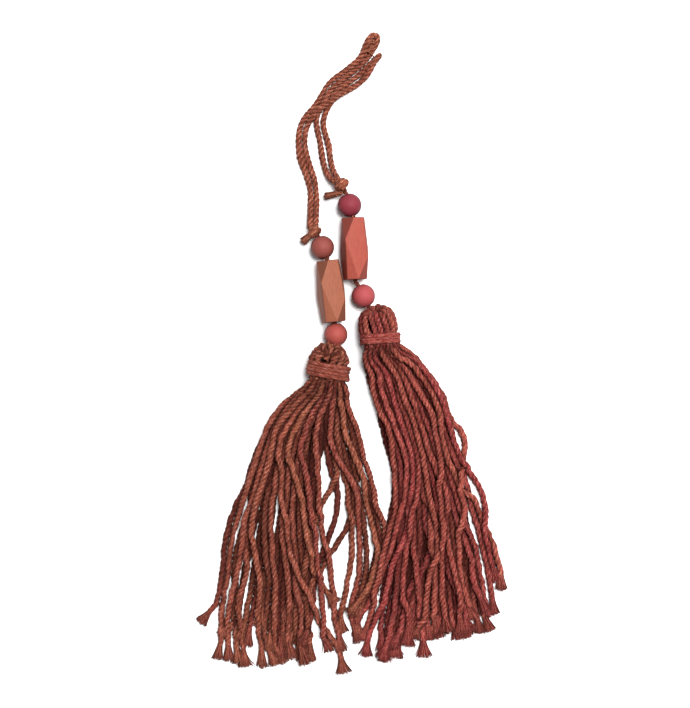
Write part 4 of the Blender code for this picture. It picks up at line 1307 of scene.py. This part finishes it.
@dataclass
class Skirt:
    """Cut strands that spread over the table from under a binding."""

    side: Side
    left: Spot
    right: Spot
    tips: tuple[Spot, Spot]
    under: int
    clear: tuple[float, float]
    seed: int
    twine: Twine = field(default_factory=Twine)
    brush: Brush = field(default_factory=Brush)
    fuzz: Fuzz = field(default_factory=Fuzz)
    spacing: float = 4.0
    layer_height: float = 4.6
    neck: Spot = (12.4, 10.0)

    def under_strands(self) -> list[Strand]:
        """Fill the fan under the strands that show.

        Returns:
            Strands of the lowest layer, clear of the gap that shows the table.
        """
        chance = random.Random(self.seed)
        head = HEADS[self.side]
        axis = down_the_string(head.slant)
        foot = Vector(head.crown) + axis * (head.band[1] + 6.0)
        strands = []
        for index in range(self.under):
            across = (index + chance.uniform(0.25, 0.75)) / self.under
            if self.clear[0] < across < self.clear[1]:
                across = self.clear[0] - chance.uniform(0.02, 0.2)
            start = foot + Vector((-axis.y, axis.x, 0.0)) * (across - 0.5) * 20.0
            middle = (self.left[0] + (self.right[0] - self.left[0]) * across,
                      self.left[1] + (self.right[1] - self.left[1]) * across)
            low, high = self.tips
            tip = (low[0] + (high[0] - low[0]) * across, low[1] + (high[1] - low[1]) * across
                   + chance.uniform(-8.0, 24.0))
            bow = chance.uniform(-4.0, 4.0)
            way = [(start.x, start.y)]
            for share in (0.3, 0.6, 1.0):
                way.append((start.x + (middle[0] - start.x) * share + bow * (1 - share),
                            start.y + (middle[1] - start.y) * share))
            for share in (0.35, 0.7, 1.0):
                way.append((middle[0] + (tip[0] - middle[0]) * share + bow * math.sin(4 * share),
                            middle[1] + (tip[1] - middle[1]) * share))
            strands.append(Strand(Layer.FLOOR, way))
        return strands

    def lay_out(self) -> list[np.ndarray]:
        """Give every strand a first route in mm, from its place in the neck to its cut end.

        Returns:
            One array of points for each strand.
        """
        head = HEADS[self.side]
        frame = head.frame()
        strands = SHOWN_STRANDS[self.side] + self.under_strands()
        order = {layer: [strand for strand in strands if strand.layer is layer] for layer in Layer}
        heights = {Layer.TOP: 0.92, Layer.MIDDLE: 0.45, Layer.LOW: -0.25, Layer.FLOOR: -0.85}
        routes = []
        for strand in strands:
            row = sorted(order[strand.layer], key=lambda each: each.way[0][0] + 0.15 * each.way[2][0])
            across = 2.0 * (row.index(strand) + 0.5) / len(row) - 1.0
            up = heights[strand.layer] * math.sqrt(max(0.0, 1.0 - across * across))
            width = self.neck[0] * (0.96 if abs(heights[strand.layer]) > 0.3 else 0.8)
            roots = [frame @ Vector((across * width * wider, up * self.neck[1] * higher, head.band[1] + below))
                     for wider, higher, below in ((1.0, 1.0, -5.5), (1.10, 1.04, -0.8), (1.30, 1.12, 4.6))]
            out = (roots[2] - roots[1]).normalized()
            towards = (Vector((*strand.way[1], roots[2].z)) - roots[2]).normalized()
            roots.append(roots[2] + (out * 0.6 + towards).normalized() * 6.0)
            rise = self.twine.radius + strand.layer.value * self.layer_height
            way = []
            far = sum(math.dist(a, b) for a, b in zip(strand.way, strand.way[1:]))
            gone = 0.0
            for index, spot in enumerate(strand.way[1:], 1):
                gone += math.dist(spot, strand.way[index - 1])
                share = min(1.0, gone / (0.42 * far))
                height = (head.crown[2] + up * self.neck[1]) * (1.0 - share) + rise * share
                way.append((*spot, height))
                line = [*(tuple(root) for root in roots), *way]
            route = smooth_route(line, self.spacing)
            keep = max(6, len(route) - round(self.brush.length / self.spacing))
            routes.append(route[:keep])
        return routes


class Crowd:
    """All the strands at rest, to find where one lies against another and paint shade there."""

    reach: float = 7.4
    far: float = 4.7
    close: float = 2.9

    def __init__(self, lines: list[np.ndarray], spacing: float = 1.8, strength: float = 1.0) -> None:
        """Sort the strands' points for the search.

        Args:
            lines: One array of points in mm for each strand.
            spacing: Distance between the points that are kept.
            strength: Greatest painted shade that a touch gives.
        """
        self.strength = strength
        fine = [smooth_route(line, spacing) for line in lines]
        self.points = np.vstack(fine)
        self.owner = np.repeat(np.arange(len(fine)), [len(line) for line in fine])
        self.tree = KDTree(len(self.points))
        for index, point in enumerate(self.points):
            self.tree.insert(point, index)
        self.tree.balance()

    def painted_contact_shade(self, number: int, centres: np.ndarray, skin: np.ndarray) -> np.ndarray:
        """Tell how much painted shade each point of a strand's skin gets from lying near the strands beside it.

        Args:
            number: The strand's own place in the crowd.
            centres: Middle of each ring in mm.
            skin: Points of the rings in mm.

        Returns:
            Painted shade from 0, clear of them, to 1, in the gap between two, for each ring and side.
        """
        found = np.zeros(skin.shape[:2])
        for ring, centre in enumerate(centres):
            near = np.array([index for _, index, _ in self.tree.find_range(centre, self.reach)], int)
            near = near[self.owner[near] != number]
            if len(near):
                gaps = np.linalg.norm(skin[ring][:, None, :] - self.points[near][None, :, :], axis=2).min(axis=1)
                found[ring] = self.strength * np.clip((self.far - gaps) / (self.far - self.close), 0.0, 1.0)
        return found


class Settling:
    """Lets the laid-out strands push each other apart and sink onto the table."""

    def __init__(self, routes: list[np.ndarray], radius: float, held: int = 3) -> None:
        """Gather the strands.

        Args:
            routes: First routes in mm.
            radius: Radius of a strand.
            held: Points at each strand's root that stay where they are.
        """
        self.radius = radius
        self.sizes = [len(route) for route in routes]
        self.points = np.vstack(routes)
        self.home = self.points.copy()
        self.owner = np.repeat(np.arange(len(routes)), self.sizes)
        self.index = np.concatenate([np.arange(size) for size in self.sizes])
        self.free = self.index >= held

    def pairs(self, reach: float) -> tuple[np.ndarray, np.ndarray]:
        """Find the points of unlike strands that lie near each other.

        Args:
            reach: Greatest distance in mm.

        Returns:
            Two arrays of indices.
        """
        found_first, found_second = [], []
        for start in range(0, len(self.points), 512):
            block = self.points[start:start + 512]
            apart = ((block[:, None, :] - self.points[None, :, :]) ** 2).sum(axis=2)
            first, second = np.nonzero(apart < reach * reach)
            first += start
            ok = (first < second) & (self.owner[first] != self.owner[second])
            found_first.append(first[ok])
            found_second.append(second[ok])
        return np.concatenate(found_first), np.concatenate(found_second)

    def run(self, rounds: int = 90, sink: float = 0.22, contact: float = 0.93) -> list[np.ndarray]:
        """Settle the strands.

        Args:
            rounds: Steps of the settling.
            sink: Drop in a step, in mm.
            contact: Distance that two strands keep, against their diameter.

        Returns:
            The settled routes.
        """
        keep = 2.0 * self.radius * contact
        first, second = self.pairs(keep + 3.0)
        for step in range(rounds):
            if step % 10 == 0:
                first, second = self.pairs(keep + 3.0)
            falling = step < rounds - 12
            if falling:
                self.points[self.free, 2] -= sink
            away = self.points[second] - self.points[first]
            away[np.abs(away[:, 2]) < 0.05, 2] += 0.05
            distance = np.linalg.norm(away, axis=1)
            close = distance < keep
            push = away[close] / distance[close, None] * ((keep - distance[close]) * 0.5)[:, None]
            push[:, :2] *= 0.55
            total = np.zeros_like(self.points)
            count = np.zeros(len(self.points))
            np.add.at(total, second[close], push)
            np.add.at(total, first[close], -push)
            np.add.at(count, second[close], 1.0)
            np.add.at(count, first[close], 1.0)
            move = total / np.maximum(1.0, count * 0.55)[:, None]
            self.points[self.free] += move[self.free]
            self.points[self.free, :2] += 0.06 * (self.home - self.points)[self.free, :2]
            self._stiffen(0.32 if falling else 0.15)
            self.points[:, 2] = np.maximum(self.points[:, 2], self.radius * 0.92)
        return np.split(self.points, np.cumsum(self.sizes)[:-1])

    def _stiffen(self, amount: float) -> None:
        """Draw each point towards the middle of its neighbours."""
        inner = self.free & (self.index > 0)
        last = np.zeros(len(self.points), bool)
        last[np.cumsum(self.sizes) - 1] = True
        inner &= ~last
        at = np.nonzero(inner)[0]
        middle = (self.points[at - 1] + self.points[at + 1]) / 2
        self.points[at, 2] += amount * (middle[:, 2] - self.points[at, 2])
        self.points[at, :2] += 0.25 * amount * (middle[:, :2] - self.points[at, :2])


SKIRTS = {
    Side.LEFT: Skirt(Side.LEFT, (-84.0, -30.0), (8.0, -30.0), ((-106.0, -200.0), (2.0, -180.0)),
                     under=15, clear=(0.58, 1.1), seed=5),
    Side.RIGHT: Skirt(Side.RIGHT, (37.0, -46.0), (86.0, -14.0), ((18.0, -198.0), (116.0, -168.0)),
                      under=18, clear=(2.0, 3.0), seed=9),
}


def build_skirts(materials: dict[Side, bpy.types.Material], chance: np.random.Generator) -> None:
    """Settle both skirts together and make their strands.

    Args:
        materials: Jute finish of each side.
        chance: Seeded source of random numbers.
    """
    routes = {side: skirt.lay_out() for side, skirt in SKIRTS.items()}
    both = routes[Side.LEFT] + routes[Side.RIGHT]
    settled = Settling(both, SKIRTS[Side.LEFT].twine.radius).run()
    crowd = Crowd(settled)
    split = len(routes[Side.LEFT])
    for side, lines in ((Side.LEFT, settled[:split]), (Side.RIGHT, settled[split:])):
        skirt = SKIRTS[side]
        shown = len(SHOWN_STRANDS[side])
        layers = [strand.layer for strand in SHOWN_STRANDS[side]] + [Layer.FLOOR] * (len(lines) - shown)
        first = 0 if side is Side.LEFT else split
        laid_out = list(zip(lines, layers, range(first, first + len(lines))))
        groups = (("upper", laid_out[:shown // 2]), ("lower", laid_out[shown // 2:shown]), ("under", laid_out[shown:]))
        for group, members in groups:
            batch = MeshBatch(f"skirt_{side.value}_{group}")
            for line, layer, number in members:
                # Painted shade: lower layers darker, fading out over the last 45 mm to the tip, more against other
                # strands.
                painted_layer_shade = {Layer.FLOOR: 1.0, Layer.LOW: 0.7, Layer.MIDDLE: 0.2, Layer.TOP: 0.0}[layer]
                painted_layer_shade *= float(chance.uniform(0.75, 1.0))
                sway = chance.normal(0.0, 0.30, line.shape)
                sway[:3] = 0.0
                sway[:, 2] *= 0.3
                fine = smooth_route(line + sway, skirt.twine.step)
                tint = float(np.clip(chance.normal(0.5, 0.32), 0.0, 1.0))
                squeeze = np.clip(np.linspace(0.0, len(fine) * skirt.twine.step / 28.0, len(fine)), 0.0, 1.0)
                along = np.arange(len(fine)) * skirt.twine.step
                uneven = 0.05 * np.sin(along / chance.uniform(5.0, 9.0) + chance.uniform(0.0, 6.0))
                uneven += 0.04 * np.sin(along / chance.uniform(2.0, 3.4) + chance.uniform(0.0, 6.0))
                laid = replace(skirt.twine, lay=skirt.twine.lay * float(chance.uniform(0.84, 1.25)),
                               spread=float(chance.uniform(0.34, 0.60)))
                painted_shade_share = painted_layer_shade * np.clip((along[-1] - along) / 45.0, 0.0, 1.0)
                batch.sweep(fine, laid, float(chance.uniform(0.0, 6.0)), tint, 0.86 + 0.14 * squeeze + uneven,
                            painted_shade_share, crowd, number)
                heading = fine[-1] - fine[-4]
                heading[2] *= 0.4
                heading /= np.linalg.norm(heading)
                skirt.brush.open(batch, fine[-1], heading, skirt.twine.radius, tint, chance)
                if group != "under":
                    skirt.fuzz.cover(batch, fine, skirt.twine, tint, chance)
            piece = batch.build(materials[side])
            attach(piece, "root")
            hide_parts(f"tassel_{side.value}")
            LOG.info("%s: %d strands, %d points", piece.name, len(members), batch.count)


JUTES = {
    Side.LEFT: JuteFinish("rust jute", light=(0.285, 0.080, 0.041), dark=(0.058, 0.008, 0.004),
                          warm=(0.215, 0.036, 0.026), pale=(0.52, 0.23, 0.18)),
    Side.RIGHT: JuteFinish("rose jute", light=(0.315, 0.067, 0.044), dark=(0.062, 0.007, 0.004),
                           warm=(0.265, 0.033, 0.034), pale=(0.54, 0.22, 0.18)),
}
CORD_JUTE = JuteFinish("cord jute", light=(0.29, 0.086, 0.044), dark=(0.060, 0.010, 0.0055),
                       warm=(0.21, 0.042, 0.027), pale=(0.54, 0.26, 0.18), groove_shade=0.72)
KNOTS = [
    Knot(Side.LEFT, (-32.8, 166.6, 8.6), 22.0, 40.0, wrap=3.1, turns=2.0, pitch=4.0,
         ends=((-36.4, 170.9, 8.0), (-31.6, 172.4, 8.0)),
         tail=[(-31.0, 168.0, 10.0), (-34.6, 165.2, 10.6), (-37.0, 163.2, 9.0)],
         tail_tip=(-42.8, 158.4, 5.0), socket=(-14.2, 67.2, 10.6)),
    Knot(Side.RIGHT, (-9.6, 206.6, 9.0), 21.0, 48.0, wrap=3.5, turns=2.3, pitch=5.6,
         ends=((-17.8, 210.6, 8.2), (-13.6, 213.4, 8.2)),
         tail=[(-6.5, 203.5, 7.0), (-10.5, 200.4, 8.0), (-14.6, 198.9, 7.0)],
         tail_tip=(-23.0, 197.4, 5.0), socket=(13.6, 100.0, 10.6)),
]


def main() -> None:
    """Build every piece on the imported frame."""
    logging.basicConfig(level=logging.INFO, format="%(name)s: %(message)s")
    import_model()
    chance = np.random.default_rng(12)
    Studio().build()
    cord_material = CORD_JUTE.material()
    for cord in (CORD_EYE, CORD_FOLD):
        LOG.info("cord %s", cord.build(cord_material, chance).name)
    for knot in KNOTS:
        LOG.info("knot %s", knot.build(cord_material, chance).name)
    for bead in BEADS:
        LOG.info("bead %s", bead.build().name)
    materials = {side: finish.material() for side, finish in JUTES.items()}
    for side, head in HEADS.items():
        head.build(materials[side], materials[side], chance)
        LOG.info("head %s", side.value)
    build_skirts(materials, chance)


if __name__ == "__main__":
    main()
